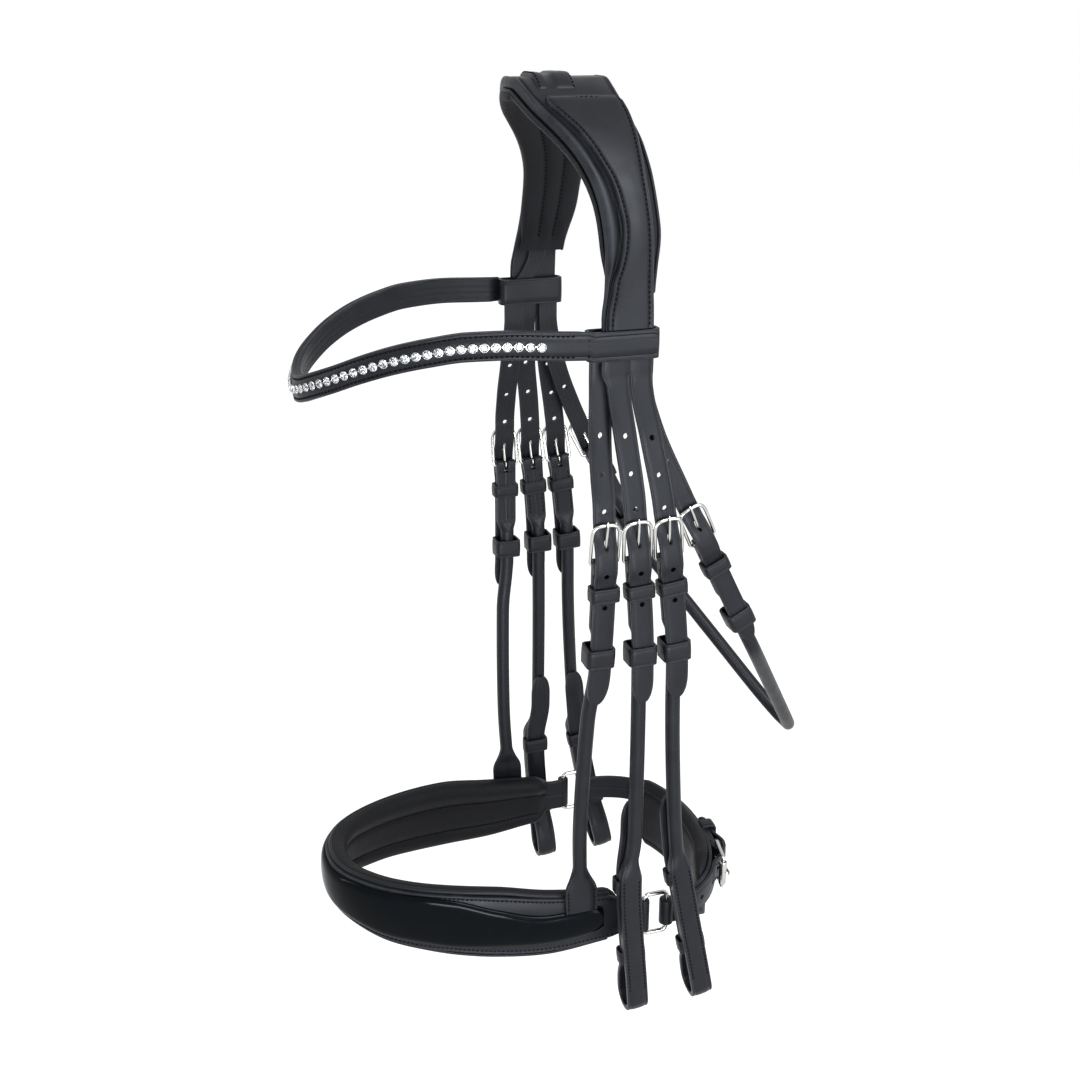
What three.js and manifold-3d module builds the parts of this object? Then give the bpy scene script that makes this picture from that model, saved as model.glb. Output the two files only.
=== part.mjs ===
// A black leather bridle with two cheekpieces on each side, an anatomical padded headpiece, a browband
// with a chain of crystals and a padded crank noseband. Millimetres, +Z up, browband towards -Y,
// the horse's left (near) side towards +X. The origin is the flat seat under the middle of the poll pad.
import * as THREE from 'three';
import { mergeVertices } from 'three/addons/utils/BufferGeometryUtils.js';
import Module from 'manifold-3d';

const wasm = await Module();
wasm.setup();

// Clearance between pieces that touch, and the overrun of a cut
const GAP = 0.3;
const OVER = 1;
// Degrees from the middle of the head to its side, over the poll and round the front
const QUARTER = 90;

// The head that the bridle fits: drops are depths below the seat under the poll
const HEAD = {
  loopDrop: 112, browHalf: 81.5, straightDrop: 134, buckleDrop: 231,
  bitDrop: 528, bitHalf: 95.3, pollDepth: 12, pollFlat: 9, curve: 1.3,
};

// Leather thicknesses and strap widths
const LEATHER = { crown: 3, strap: 2.2, chape: 3.7, panel: 2.4, bevel: 0.5 };
const STRAP = { half: 6.25, throatHalf: 5.75, roll: 4.25, rollDepth: 3 };

// The headpiece: its widths at the poll, at the sides and under the browband
const CROWN = {
  front: 30.5, rear: 27, rim: 6.1, rimWide: 5, pollBridge: 11, bridgeHigh: 3.2, bridgeFront: 19,
  bridgeRear: 2, panelStartShare: 0.278, panelInset: 1.6, groove: 8, stubDrop: 138.5,
};

// Share of the quarter turn from poll to side, then the front and rear edges as shares of front and rear
const crownEdgeShares = [
  [0, -1, 0.89], [0.1, -0.99, 0.89], [0.19, -0.94, 0.89], [0.267, -0.86, 0.91], [0.32, -0.765, 0.96],
  [0.367, -0.64, 1], [0.433, -0.445, 1.02], [0.49, -0.285, 1.015], [0.54, -0.17, 1.01], [0.59, -0.085, 1],
  [0.645, -0.025, 1], [0.7, 0, 1], [0.76, 0.005, 0.98], [0.82, -0.02, 0.94], [0.89, -0.08, 0.907],
  [0.95, -0.138, 0.907], [1, -0.138, 0.907],
];
// Share of the same turn, then how far the panel's front edge lies from the headpiece's front edge
const panelShares = [
  [0, 0.85], [0.27, 0.85], [0.33, 0.95], [0.44, 1.05], [0.53, 1], [0.585, 1.1], [0.65, 1.12], [0.715, 1.17],
  [0.77, 1.01], [0.82, 0.75], [0.86, 0.46], [0.95, 0.34], [1, 0.3],
];

// The poll pad and its three sewn channels
const PAD = { depth: 5.6, overhang: 1.5, behind: 6, channel: 1.6, groove: 1.2, endShare: 0.89 };
// Share of the turn, then how far the pad reaches behind the leather
const padRearShares = [[0, 0.2], [0.3, 0.35], [0.48, 0.8], [0.6, 1], [0.72, 1], [0.82, 0.7], [1, 0.2]];

// The noseband's own headstrap, under the crown leather
const HEADSTRAP = { half: 5.2, thick: 2.4 };
// Shares of the turn, and how far the strap's middle lies behind the poll there
const headstrapShares = [0, 0.3, 0.42, 0.53, 0.63, 0.73, 0.82, 0.911, 1];
const headstrapBehind = [-2, -4, 0, 7.2, 12.2, 13, 12.8, 11, 2];
const headstrapRoute = headstrapShares.map((share, i) => [share, headstrapBehind[i]]);

// The browband: half width, reach forward, its wave and its loops
const BROW = {
  half: HEAD.browHalf + 5 * GAP, reach: 159.5, start: 11, curve: 2.1, high: 14.8, thick: 3, lining: 2.6,
  loopWall: 1.8, loopFront: -10.2, loopRear: 25.8, loopDeep: 6.6, loopHigh: 15.5, endDrop: 116, dip: 30,
  plainShare: 0.165,
};
// Share of the way from loop to front, then the centre's depth as a share of the dip
const browDipShares = [
  [0, 0], [0.13, -0.05], [0.25, -0.1], [0.34, -0.08], [0.43, 0.02], [0.52, 0.16], [0.62, 0.36],
  [0.73, 0.6], [0.84, 0.8], [0.93, 0.94], [1, 1],
];
const CHAIN = { pitch: 5.7, cup: 2.5, cornerShare: 0.42, cupHigh: 2, tableShare: 0.7 };

// Buckles: half the opening's width, how far the top bar stands from the heel bar, and the wire
const BUCKLE = { half: 6.75, long: 22.5, wire: 1.05, tongue: 0.8, shoulder: 0.62, eye: 1.6, bow: 0.6,
  tube: 1.05, rise: 3.7, play: 0.3 };
const ROLLER = { half: 9.4, long: 19, wire: 1.3, tongue: 1, shoulder: 0.9, eye: 1.8, bow: 0.3, tube: 2.4,
  play: 0.6 };

// Distances along a strap from its heel bar, upwards positive
const STAGE = {
  slotTop: 17.2, slotLow: 5.4, slotHalf: 1.25, over: 3.4, settle: 11, keeperTop: 13.2, keeperHigh: 8,
  chapeEnd: 45, chapeTaper: 8, slideTop: 50, slideHigh: 11, tip: 84, tipLong: 13, hole: 1.5,
};

// Keepers
const KEEPER = { wall: 1.5, side: 0.4 };

// The cheekpieces: where the rolled part flattens, the bit loop and the inner billet
const CHEEK = {
  flatDrop: 430, flatLong: 12, sewnThick: 6, sewnInner: 4, loopThick: 3.2, loopBend: 8, turnDrop: 518,
  billetTip: 384, billetThick: 2.6, billetBack: 8.9, billetNear: 6.2, pinchDrop: 492, half: 6.5,
  keeperTopDrop: 433, keeperLowDrop: 483, keeperHigh: 9, studDrop: 467, studHead: 2.7, studPost: 1.1,
};

// Routes of the straps on the near side: drop, then distance behind the poll, both real sizes
const BEND = 139.5;
const bendTop = CROWN.stubDrop + 2 * GAP + LEATHER.strap / 2;
const ROUTES = {
  hanger: [[HEAD.straightDrop, -3], [BEND, -3.2], [185, -5.4], [HEAD.buckleDrop, -5.2], [296, -6.4],
    [330, -10.2], [401, -11.9], [438, -10.6], [462, -9.8]],
  front: [[HEAD.straightDrop, 5], [BEND, 5.2], [165, 7.6], [197, 11.4], [HEAD.buckleDrop, 13.5], [287, 17],
    [340, 17.4], [405, 17], [432, 14], [510, 19.5], [540, 22]],
  rear: [[HEAD.straightDrop, 18], [BEND, 18.2], [165, 22], [198, 27.8], [HEAD.buckleDrop, 31.8], [297, 37.8],
    [324, 38.2], [383, 40.8], [425, 44.4], [440, 47], [520, 62.8], [540, 66.4]],
  throat: [[HEAD.straightDrop, 18.6], [BEND, 19.4], [165, 26.4], [195, 39], [226, 54], [269, 75.6], [289, 86],
    [300, 92]],
};
// Half widths between the straps of both sides: at each drop a share of the way from the browband's half width
// to the bit's, then what is added to it
const spreadShares = {
  hanger: [0, 0, 0.4, 0.6, 0.8, 0.8, 0.8, 0.8, 0.8, 0.9, 1, 1],
  cheek: [0, 0, 0.4, 0.6, 0.8, 0.8, 0.9, 1, 1, 1],
  throat: [0, 0, 0.2, 0.4, 0.6, 0.7, 0.7, 0.7, 0.7],
};
const spreadRows = {
  hanger: [[HEAD.straightDrop, -5.3], [BEND, -4.5], [164, -5.6], [185, -2.6], [203, -1.3], [HEAD.buckleDrop, -1.1],
    [290, -3.3], [313, -5], [340, -7.1], [401, -13.3], [440, -17.3], [462, -18.3]],
  cheek: [[HEAD.straightDrop, -1.5], [BEND, -0.5], [164, -0.2], [185, 0.2], [203, -0.5], [HEAD.buckleDrop, 0.1],
    [290, -0.5], [425, -0.7], [HEAD.bitDrop, 0], [540, 0]],
  throat: [[HEAD.straightDrop, -5.3], [BEND, -4.7], [165, -3.7], [183, -2.8], [200, -3.2], [226, -3.8],
    [269, -4.6], [289, -5.6], [300, -6.8]],
};
const spread = (name) => spreadRows[name].map(([drop, extra], i) =>
  [drop, HEAD.browHalf + spreadShares[name][i] * (HEAD.bitHalf - HEAD.browHalf) + extra]);
const SPREADS = { hanger: spread('hanger'), front: spread('cheek'), rear: spread('cheek'), throat: spread('throat') };
// Where the rolled parts are supported by stations, and where the straps are punched
const rollDrops = [300, 340, 380];
const HOLES = { hanger: [163, 183, 202], front: [163, 183, 202], rear: [165, 185, 203], throat: [160, 180] };
const THROAT = {
  heelDrop: 226, strandBehind: 151, strandDrop: 386, strandHalf: 22, turnBehind: 160.5, turnDrop: 399,
  turnHalf: 9, apexBehind: 163, apexDrop: 402, roll: 4.2, chapeEnd: 42, tip: 70,
};

// The noseband: plan curve, edges and layers
const NOSE = {
  half: HEAD.bitHalf - 19.8, reach: 157.5, start: 8, curve: 2.2, leatherFace: -0.6, thick: 3, patentFace: 2.5,
  patentEndShare: 0.99, pad: 9.5, tabHigh: 21.5, lip: 2.2,
};
// Shares of the quarter turn from front to side, and at each the drops of: the pad's top, the leather's top,
// the patent panel's top and bottom, the leather's bottom and the pad's bottom
const noseShares = [0, 0.25, 0.4, 0.52, 0.62, 0.74, 0.87, 1];
const noseDrops = [
  [438, 440, 443, 465, 467, 470], [438, 440, 442, 469, 472, 475], [439, 441, 443, 473.5, 477, 480],
  [440, 442, 443.5, 475.5, 480, 483], [441, 443, 445.5, 478, 482, 486], [443, 445.5, 453.5, 479.5, 485, 489],
  [449, 450.5, 461, 481, 487, 491], [454, 455, 459, 478, 485, 488],
];

// The metal rings at the noseband's ends and the chin strap behind
const RING = {
  x: NOSE.half + LEATHER.bevel, front: 30.5, across: 15, half: 13.8, drop: 472, wire: 1.4, corner: 3.4, lug: 1.9,
  play: 0.85,
};
const CHIN = {
  behind: 53, curve: 2.2, half: 8.5, thick: 2.6, billet: 2.2, heel: 70, heelOut: 3.6, padHalf: 25,
  padDrop: 481, padThick: 9, spans: 24, padSpan: 4, over: 7.6, tip: 38, chape: 26, chapeLip: 6, chapeOut: 3.2,
  keeperHigh: 9, keeperBelow: 21, slotLow: 3.1, slotTop: 17.6, underBar: 1.6, climb: 5.4, step: 12, lift: 4,
};

const FOOT = { half: 10, drop: 443, end: 460, thick: 2.6, face: NOSE.half - GAP, roll: 430 };

const LOOKS = {
  leather: { color: 0x17181b, roughness: 0.48, metalness: 0 },
  lining: { color: 0x141518, roughness: 0.7, metalness: 0 },
  patent: { color: 0x07090d, roughness: 0.08, metalness: 0 },
  steel: { color: 0xc9ccd0, roughness: 0.22, metalness: 1 },
  crystal: { color: 0xe9edf2, roughness: 0.08, metalness: 0.1 },
};

const bridle = new THREE.Group();
bridle.name = 'double_cheek_bridle';

const at = (x, y, z) => new THREE.Vector3(x, y, z);
const radians = THREE.MathUtils.degToRad;

// Smooth value of a table of rows [x, values...] at x: a cubic whose slopes never overshoot the rows
function smooth(table, x, column = 1) {
  const rows = table;
  if (x <= rows[0][0]) return rows[0][column];
  const last = rows.length - 1;
  if (x >= rows[last][0]) return rows[last][column];
  const slope = (i) => (rows[i + 1][column] - rows[i][column]) / (rows[i + 1][0] - rows[i][0]);
  const tangent = (i) => {
    if (i === 0) return slope(0);
    if (i === last) return slope(last - 1);
    const [before, after] = [slope(i - 1), slope(i)];
    return before * after <= 0 ? 0 : (2 * before * after) / (before + after);
  };
  const i = rows.findIndex((row) => row[0] > x) - 1;
  const span = rows[i + 1][0] - rows[i][0];
  const u = (x - rows[i][0]) / span;
  const [a, b] = [rows[i][column], rows[i + 1][column]];
  const [c, d] = [tangent(i) * span, tangent(i + 1) * span];
  return a + u * (c + u * (3 * (b - a) - 2 * c - d + u * (2 * (a - b) + c + d)));
}

// Closed surface through stations { o, w, n, outline }: outline points [across, out] on axes w and n
function loft(stations, joined = false) {
  const rings = stations.map(({ o, w, n, outline }) =>
    outline.map(([across, out]) => o.clone().addScaledVector(w, across).addScaledVector(n, out)));
  const sides = rings[0].length;
  const positions = rings.flat().flatMap((p) => [p.x, p.y, p.z]);
  const index = [];
  const count = rings.length;
  for (let i = 0; i < (joined ? count : count - 1); i += 1) {
    for (let k = 0; k < sides; k += 1) {
      const [a, b] = [i * sides + k, i * sides + ((k + 1) % sides)];
      const [c, d] = [((i + 1) % count) * sides + ((k + 1) % sides), ((i + 1) % count) * sides + k];
      index.push(a, b, c, a, c, d);
    }
  }
  if (!joined) {
    const cap = (i, flip) => {
      const contour = stations[i].outline.map(([across, out]) => new THREE.Vector2(across, out));
      const turned = THREE.ShapeUtils.area(contour) < 0;
      for (const face of THREE.ShapeUtils.triangulateShape(contour, [])) {
        const [a, b, c] = face.map((k) => i * sides + k);
        if (flip !== turned) index.push(a, c, b);
        else index.push(a, b, c);
      }
    };
    cap(0, true);
    cap(count - 1, false);
  }
  return outward(positions, index);
}

// Turns every face outwards and gives a geometry
function outward(positions, index) {
  let volume = 0;
  const p = (i) => at(positions[3 * i], positions[3 * i + 1], positions[3 * i + 2]);
  for (let i = 0; i < index.length; i += 3) volume += p(index[i]).dot(p(index[i + 1]).cross(p(index[i + 2])));
  if (volume < 0) for (let i = 0; i < index.length; i += 3) [index[i], index[i + 1]] = [index[i + 1], index[i]];
  const geometry = new THREE.BufferGeometry();
  geometry.setAttribute('position', new THREE.Float32BufferAttribute(positions, 3));
  geometry.setIndex(index);
  return geometry;
}

// Solids for joining and cutting, and back
function solid(geometry) {
  const bare = geometry.clone();
  bare.deleteAttribute('normal');
  bare.deleteAttribute('uv');
  const merged = mergeVertices(bare, 1e-5);
  const mesh = new wasm.Mesh({
    numProp: 3,
    vertProperties: Float32Array.from(merged.attributes.position.array),
    triVerts: Uint32Array.from(merged.index.array),
  });
  return new wasm.Manifold(mesh);
}

function geometryOf(body) {
  const mesh = body.getMesh();
  const geometry = new THREE.BufferGeometry();
  geometry.setAttribute('position', new THREE.Float32BufferAttribute(Array.from(mesh.vertProperties), 3));
  geometry.setIndex(Array.from(mesh.triVerts));
  return geometry;
}

const join = (...pieces) => geometryOf(pieces.map(solid).reduce((a, b) => a.add(b)));
const cut = (piece, ...tools) => geometryOf(tools.map(solid).reduce((a, b) => a.subtract(b), solid(piece)));

function mirrored(geometry) {
  const positions = Array.from(geometry.attributes.position.array);
  for (let i = 0; i < positions.length; i += 3) positions[i] = -positions[i];
  const index = geometry.index ? Array.from(geometry.index.array) : [...positions.keys()].slice(0, positions.length / 3);
  return outward(positions, index);
}

function add(name, geometry, look) {
  const mesh = new THREE.Mesh(geometry, new THREE.MeshStandardMaterial(look));
  mesh.name = name;
  bridle.add(mesh);
}

function addPair(stem, ending, geometry, look) {
  add(`${stem}_near${ending}`, geometry, look);
  add(`${stem}_off${ending}`, mirrored(geometry), look);
}

// Outlines, all of eight points in the same order so that one can turn into another along a strap
function flat(half, inner, outer, shift = 0) {
  const b = Math.min(LEATHER.bevel, (outer - inner) / 2 - 0.01 * half);
  const [l, r] = [shift - half, shift + half];
  return [[r, inner + b], [r, outer - b], [r - b, outer], [l + b, outer], [l, outer - b], [l, inner + b],
    [l + b, inner], [r - b, inner]];
}

function round(radius, out = 0, shift = 0, sides = 8) {
  const turn = (2 * Math.PI) / sides;
  return Array.from({ length: sides }, (_, k) => {
    const angle = (k - 0.5) * turn;
    return [shift + radius * Math.cos(angle), out + radius * Math.sin(angle)];
  });
}

// A strap's route on the near side: the point, and axes along (down), across (rearwards) and out
function route(name) {
  const point = (drop) => at(smooth(SPREADS[name], drop), smooth(ROUTES[name], drop), -drop);
  return (drop) => {
    const step = 0.5 * STRAP.half;
    const t = point(drop + step).sub(point(drop - step));
    const pace = t.length() / (2 * step);
    t.normalize();
    const w = at(1, 0, 0).cross(t).normalize();
    const n = t.clone().cross(w);
    return { o: point(drop), t, w, n, pace };
  };
}

const slab = (half, inner, outer, shift = 0) =>
  [[shift + half, inner], [shift + half, outer], [shift - half, outer], [shift - half, inner]];

// A strap along a route, its rows [drop, half, inner, outer, shift]
const strapAlong = (where, rows) => loft(rows.map(([drop, half, inner, outer, shift]) =>
  ({ ...where(drop), outline: slab(half, inner, outer, shift) })));

// A straight local frame at a heel bar: s runs up the strap, w across, n out
function heelFrame(where, drop) {
  const { o, t, w, n } = where(drop);
  const s = t.clone().negate();
  return {
    o, s, w, n,
    put: (up, across, out) => o.clone().addScaledVector(s, up).addScaledVector(w, across).addScaledVector(n, out),
  };
}

// A prism on the local frame: outline of [up, out] carried across from low to high
function lug(frame, outline, low, high) {
  return loft([low, high].map((across) =>
    ({ o: frame.put(0, across, 0), w: frame.s, n: frame.n, outline })));
}

// A rectangular loop of leather round a stack: inner opening w by n, at height up on the frame
function keeper(frame, up, high, half, inner, outer, wall = KEEPER.wall) {
  const corners = [];
  const [cw, cn] = [half, (outer - inner) / 2];
  const middle = (outer + inner) / 2;
  for (const [sw, sn] of [[1, -1], [1, 1], [-1, 1], [-1, -1]]) corners.push([sw * cw, sn * cn]);
  const stations = corners.map(([across, out]) => {
    const away = at(Math.sign(across), Math.sign(out), 0);
    return {
      o: frame.put(up, across, middle + out), w: frame.s,
      n: frame.w.clone().multiplyScalar(away.x).addScaledVector(frame.n, away.y),
      outline: [[-high / 2, 0], [high / 2, 0], [high / 2, wall], [-high / 2, wall]],
    };
  });
  return loft(stations, true);
}

// A buckle's wire frame: heel bar at the origin, sides up to the shoulders, an arched top bar
function buckleFrame(frame, size, rise) {
  const half = size.half + size.wire;
  const shoulder = size.long * size.shoulder;
  const path = [[0, -half + size.wire], [0, 0], [0, half - size.wire]];
  path.push([size.wire, half]);
  const sideStops = [0.5, 1];
  for (const share of sideStops) path.push([shoulder * share, half]);
  const arc = 5;
  const bow = size.bow;
  for (let k = 1; k < 2 * arc; k += 1) {
    const angle = (k * Math.PI) / (2 * arc);
    const [up, side] = [Math.sin(angle) ** bow, Math.sign(Math.cos(angle)) * Math.abs(Math.cos(angle)) ** bow];
    path.push([shoulder + (size.long - shoulder) * up, half * side]);
  }
  for (const share of sideStops.slice().reverse()) path.push([shoulder * share, -half]);
  path.push([size.wire, -half]);
  const place = ([up, across]) => frame.put(up, across, rise * (up / size.long));
  const stations = path.map((spot, i) => {
    const [before, after] = [path[(i + path.length - 1) % path.length], path[(i + 1) % path.length]];
    const t = place(after).sub(place(before)).normalize();
    const n = frame.n.clone().addScaledVector(t, -frame.n.dot(t)).normalize();
    return { o: place(spot), w: t.clone().cross(n), n, outline: round(size.wire, 0, 0, 6) };
  });
  return loft(stations, true);
}

// A tongue: an eye round the heel bar and a wire that climbs through the strap to the top bar
function buckleTongue(frame, size, rise, reach) {
  const rest = rise + size.tube + size.play + size.tongue;
  const eyeInner = size.wire + GAP;
  const eye = lug(frame, round(eyeInner + size.eye - GAP), -size.tongue, size.tongue);
  const bore = lug(frame, round(eyeInner), -OVER - size.tongue, OVER + size.tongue);
  const lift = (up) => rest * Math.min(1, up / size.long) ** 0.92;
  const spots = [eyeInner + size.eye / 2, size.long * 0.5, size.long, reach];
  const stations = spots.map((up, i) => {
    const next = up + 1;
    const t = frame.s.clone().addScaledVector(frame.n, lift(next) - lift(up)).normalize();
    const n = frame.w.clone().cross(t);
    const radius = size.tongue * (i === spots.length - 1 ? 0.7 : 1);
    return { o: frame.put(up, 0, lift(up)), w: frame.w, n, outline: round(radius, 0, 0, 6) };
  });
  return join(cut(eye, bore), loft(stations));
}

// The folded end of a strap round the heel bar, in two lugs with the tongue's slot between them
function chapeLugs(frame, size, half) {
  const outer = size.wire + GAP + LEATHER.chape / 2;
  const arc = Array.from({ length: 7 }, (_, k) => {
    const angle = Math.PI * (k / 6);
    return [outer * Math.sin(angle), -outer * Math.cos(angle)];
  });
  const foot = outer + 2 * size.wire;
  const outline = [...arc, [-foot, outer - LEATHER.chape / 3], [-foot, -outer]];
  const slot = size.tongue + GAP;
  const bore = lug(frame, round(size.wire + GAP, 0, 0, 8), -half - OVER, half + OVER);
  return [[-half, -slot], [slot, half]].map(([low, high]) => cut(lug(frame, outline, low, high), bore));
}

// The stack on a strap: what the chape and the rolled part take up, outwards from the heel bar's middle
function stackOf(size) {
  const back = -(size.wire + GAP + LEATHER.chape / 2);
  const front = back + LEATHER.chape;
  const rollFront = STRAP.roll - STRAP.rollDepth;
  return {
    back, front, rollFront, rollBack: -STRAP.roll - STRAP.rollDepth,
    overBar: -back + GAP,
  };
}

// The punched strap end from the headpiece: down to the buckle, over the heel bar and on to its tip
function billet(where, heelDrop, size, half, top, tip, bendInPlane) {
  const stack = stackOf(size);
  const t = LEATHER.strap;
  const rest = stack.rollFront + GAP;
  const { pace } = where(heelDrop);
  const below = (far) => heelDrop + far / pace;
  const centre = [
    [0, 0], [below(-size.long - 2 * t), 0], [below(-size.long), 0.22 * t],
    [below(-STAGE.slotTop), 0.42 * t], [below(-STAGE.slotLow), stack.overBar + 0.3 * t],
    [below(0), stack.overBar + t / 2], [below(STAGE.over), stack.overBar + t / 2],
    [below(STAGE.settle), rest + t / 2], [below(2 * tip), rest + t / 2],
  ];
  const row = (drop, width) => {
    const n = smooth(centre, drop);
    return [drop, width, n - t / 2, n + t / 2, 0];
  };
  const start = [];
  if (bendInPlane) {
    for (const angle of [75, 50, 25, 0]) {
      start.push(row(top - half * Math.sin(radians(angle)), half * Math.cos(radians(angle))));
    }
  } else start.push(row(top, half));
  const upper = below(-size.long - 2 * t);
  const stops = [top + (upper - top) / 3, top + (2 * (upper - top)) / 3, upper, ...[t - size.long, -STAGE.slotTop,
    -0.5 * (STAGE.slotTop + STAGE.slotLow), -STAGE.slotLow, 0, STAGE.over, 0.6 * STAGE.settle, STAGE.settle,
    (tip + STAGE.settle) / 2].map(below)];
  const point = [[1, 1], [0.5, 0.86], [0.2, 0.6], [0, 0.16]].map(([left, wide]) =>
    row(below(tip - STAGE.tipLong * left), half * wide));
  const body = strapAlong(where, [...start, ...stops.map((drop) => row(drop, half)), ...point]);
  const frame = heelFrame(where, heelDrop);
  const slot = lug(frame, [[STAGE.slotLow, -OVER], [STAGE.slotTop, -OVER], [STAGE.slotTop, size.long / 2],
    [STAGE.slotLow, size.long / 2]], -STAGE.slotHalf, STAGE.slotHalf);
  if (bendInPlane) return cut(body, slot);
  const bend = where(top);
  const knuckle = loft([-half, half].map((across) =>
    ({ o: bend.o.clone().addScaledVector(bend.w, across), w: bend.t, n: bend.n, outline: round(t / 2, 0, 0, 8) })));
  return cut(join(body, knuckle), slot);
}

// Round punched holes through a billet at drops along its route
function punched(piece, where, drops) {
  const tools = drops.map((drop) => {
    const { o, w, t, n } = where(drop);
    return loft([-1, 1].map((side) =>
      ({ o: o.clone().addScaledVector(n, side * STRAP.half), w, n: t, outline: round(STAGE.hole, 0, 0, 6) })));
  });
  return cut(piece, ...tools);
}

// The upper part of a strap that carries a buckle: lugs, doubled chape, fixed keeper, then the roll
function chapeRows(heelDrop, size, half, chapeEnd) {
  const stack = stackOf(size);
  const lugFoot = stack.overBar + size.wire;
  return [
    [heelDrop + lugFoot, half, stack.back, stack.front, 0],
    [heelDrop + chapeEnd - STAGE.chapeTaper, half, stack.back, stack.front, 0],
  ];
}

function rollStation(where, drop, radius = STRAP.roll, depth = STRAP.rollDepth) {
  return { ...where(drop), outline: round(radius, -depth) };
}

function fixedKeeper(frame, size, half) {
  const stack = stackOf(size);
  const outer = stack.rollFront + GAP + LEATHER.strap + GAP + GAP;
  const up = -STAGE.keeperTop - STAGE.keeperHigh / 2;
  return keeper(frame, up, STAGE.keeperHigh, half + KEEPER.side, stack.back + GAP, outer + KEEPER.side);
}

function slidingKeeper(where, heelDrop, size, half, top = STAGE.slideTop) {
  const stack = stackOf(size);
  const frame = heelFrame(where, heelDrop + top + STAGE.slideHigh / 2);
  const outer = stack.rollFront + GAP + LEATHER.strap + GAP;
  return keeper(frame, 0, STAGE.slideHigh, half + KEEPER.side, stack.rollBack - GAP, outer);
}

// Headpiece: the arch over the poll, as stations from one side over to the other
const flatAngle = Math.asin((HEAD.pollFlat / HEAD.browHalf) ** (1 / HEAD.curve));
const flatTurn = THREE.MathUtils.radToDeg(flatAngle);
const archRise = (HEAD.loopDrop + HEAD.pollDepth) / Math.cos(flatAngle);

function archPoint(turn) {
  const angle = radians(Math.abs(turn));
  const x = HEAD.browHalf * Math.sin(angle) ** HEAD.curve * Math.sign(turn);
  return [x, archRise * Math.cos(angle) - HEAD.loopDrop];
}

function archStation(turn, extraDrop = 0) {
  const side = Math.sign(turn) || 1;
  const [x, z] = archPoint(turn);
  let n = at(0, 0, 1);
  if (Math.abs(turn) > flatTurn + 0.01) {
    const [xa, za] = archPoint(turn - 0.5);
    const [xb, zb] = archPoint(turn + 0.5);
    n = at(zb - za, 0, xa - xb).normalize();
    if (n.x * side < 0) n.negate();
  }
  if (Math.abs(turn) >= 90) n = at(side, 0, 0);
  return { o: at(x, 0, z - extraDrop), w: at(0, 1, 0), n };
}

const crownEdges = (turn) => {
  const share = Math.min(1, Math.abs(turn) / 90);
  return [CROWN.front * smooth(crownEdgeShares, share, 1), CROWN.rear * smooth(crownEdgeShares, share, 2)];
};

const sideTurns = [flatTurn, 16, 24, 32, 40, 48, 57, 66, 74, 82, 90];
const crownTurns = [...sideTurns.map((turn) => -turn).reverse(), ...sideTurns];

function crownOutline(front, rear) {
  const [t, rim, wide] = [LEATHER.crown, CROWN.rim, CROWN.rimWide];
  return [[front, -0.7 * rim], [front + 0.3 * wide, -0.15 * rim], [front + 0.8 * wide, 0], [rear - 0.6 * wide, 0],
    [rear - 0.1 * wide, -0.25 * rim], [rear, -0.7 * rim], [rear - 0.2 * wide, -rim], [rear - 0.7 * wide, -rim],
    [rear - wide, -t], [front + 1.3 * wide, -t], [front + wide, -rim], [front + 0.2 * wide, -rim]];
}

function flatOutline(front, rear, inner, outer) {
  const b = LEATHER.bevel;
  const third = (rear - front) / 3;
  return [[front, inner + b], [front, outer - b], [front + b, outer], [rear - b, outer], [rear, outer - b],
    [rear, inner + b], [rear - b, inner], [rear - third / 2, inner], [rear - third, inner],
    [front + third, inner], [front + third / 2, inner], [front + b, inner]];
}

function crownLeather() {
  const [front, rear] = crownEdges(90);
  const below = (side, drop) => ({ ...archStation(90 * side, drop - HEAD.loopDrop),
    outline: flatOutline(front, rear, -LEATHER.crown, 0) });
  const blend = (turn) => {
    const [a, b] = crownEdges(turn);
    if (Math.abs(turn) > 80) return flatOutline(a, b, -LEATHER.crown, 0);
    return crownOutline(a, b);
  };
  const arch = loft([
    below(-1, CROWN.stubDrop), ...crownTurns.map((turn) => ({ ...archStation(turn), outline: blend(turn) })),
    below(1, CROWN.stubDrop),
  ]);
  const bridge = loft([-1, -0.7, 0.7, 1].map((share) => {
    const high = Math.abs(share) === 1 ? -LEATHER.crown / 2 : CROWN.bridgeHigh;
    const soft = CROWN.bridgeHigh / 2;
    const low = -LEATHER.crown / 2;
    const [a, b] = [-CROWN.bridgeFront, CROWN.bridgeRear];
    const base = archStation(0);
    return {
      ...base, o: base.o.clone().add(at(CROWN.pollBridge * share, 0, 0)),
      outline: [[a, low - soft], [a, high - soft], [a + soft, high], [b - soft, high], [b, high - soft], [b, low - soft]],
    };
  }));
  // The throat strap's root lies behind the rear half of the headpiece
  const throat = route('throat');
  const inner = HEAD.browHalf - LEATHER.crown;
  const root = [HEAD.loopDrop - 1.4 * CROWN.rimWide, HEAD.straightDrop, CROWN.stubDrop - STRAP.throatHalf].map((drop) => {
    const place = throat(HEAD.straightDrop);
    const o = at(inner - GAP - LEATHER.strap / 2, place.o.y, -drop);
    return { o, w: at(0, 1, 0), n: at(1, 0, 0), outline: flat(STRAP.throatHalf, -LEATHER.strap / 2, LEATHER.strap / 2) };
  });
  const rootBody = loft(root);
  const seam = loft([HEAD.loopDrop - 1.3 * CROWN.rimWide, HEAD.loopDrop - 0.5 * CROWN.rimWide].map((drop) => ({
    o: at(inner, throat(HEAD.straightDrop).o.y, -drop), w: at(0, 1, 0), n: at(1, 0, 0),
    outline: flat(STRAP.throatHalf - LEATHER.bevel, -LEATHER.strap / 2, LEATHER.crown / 2),
  })));
  return join(arch, bridge, rootBody, seam, mirrored(rootBody), mirrored(seam));
}

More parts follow.
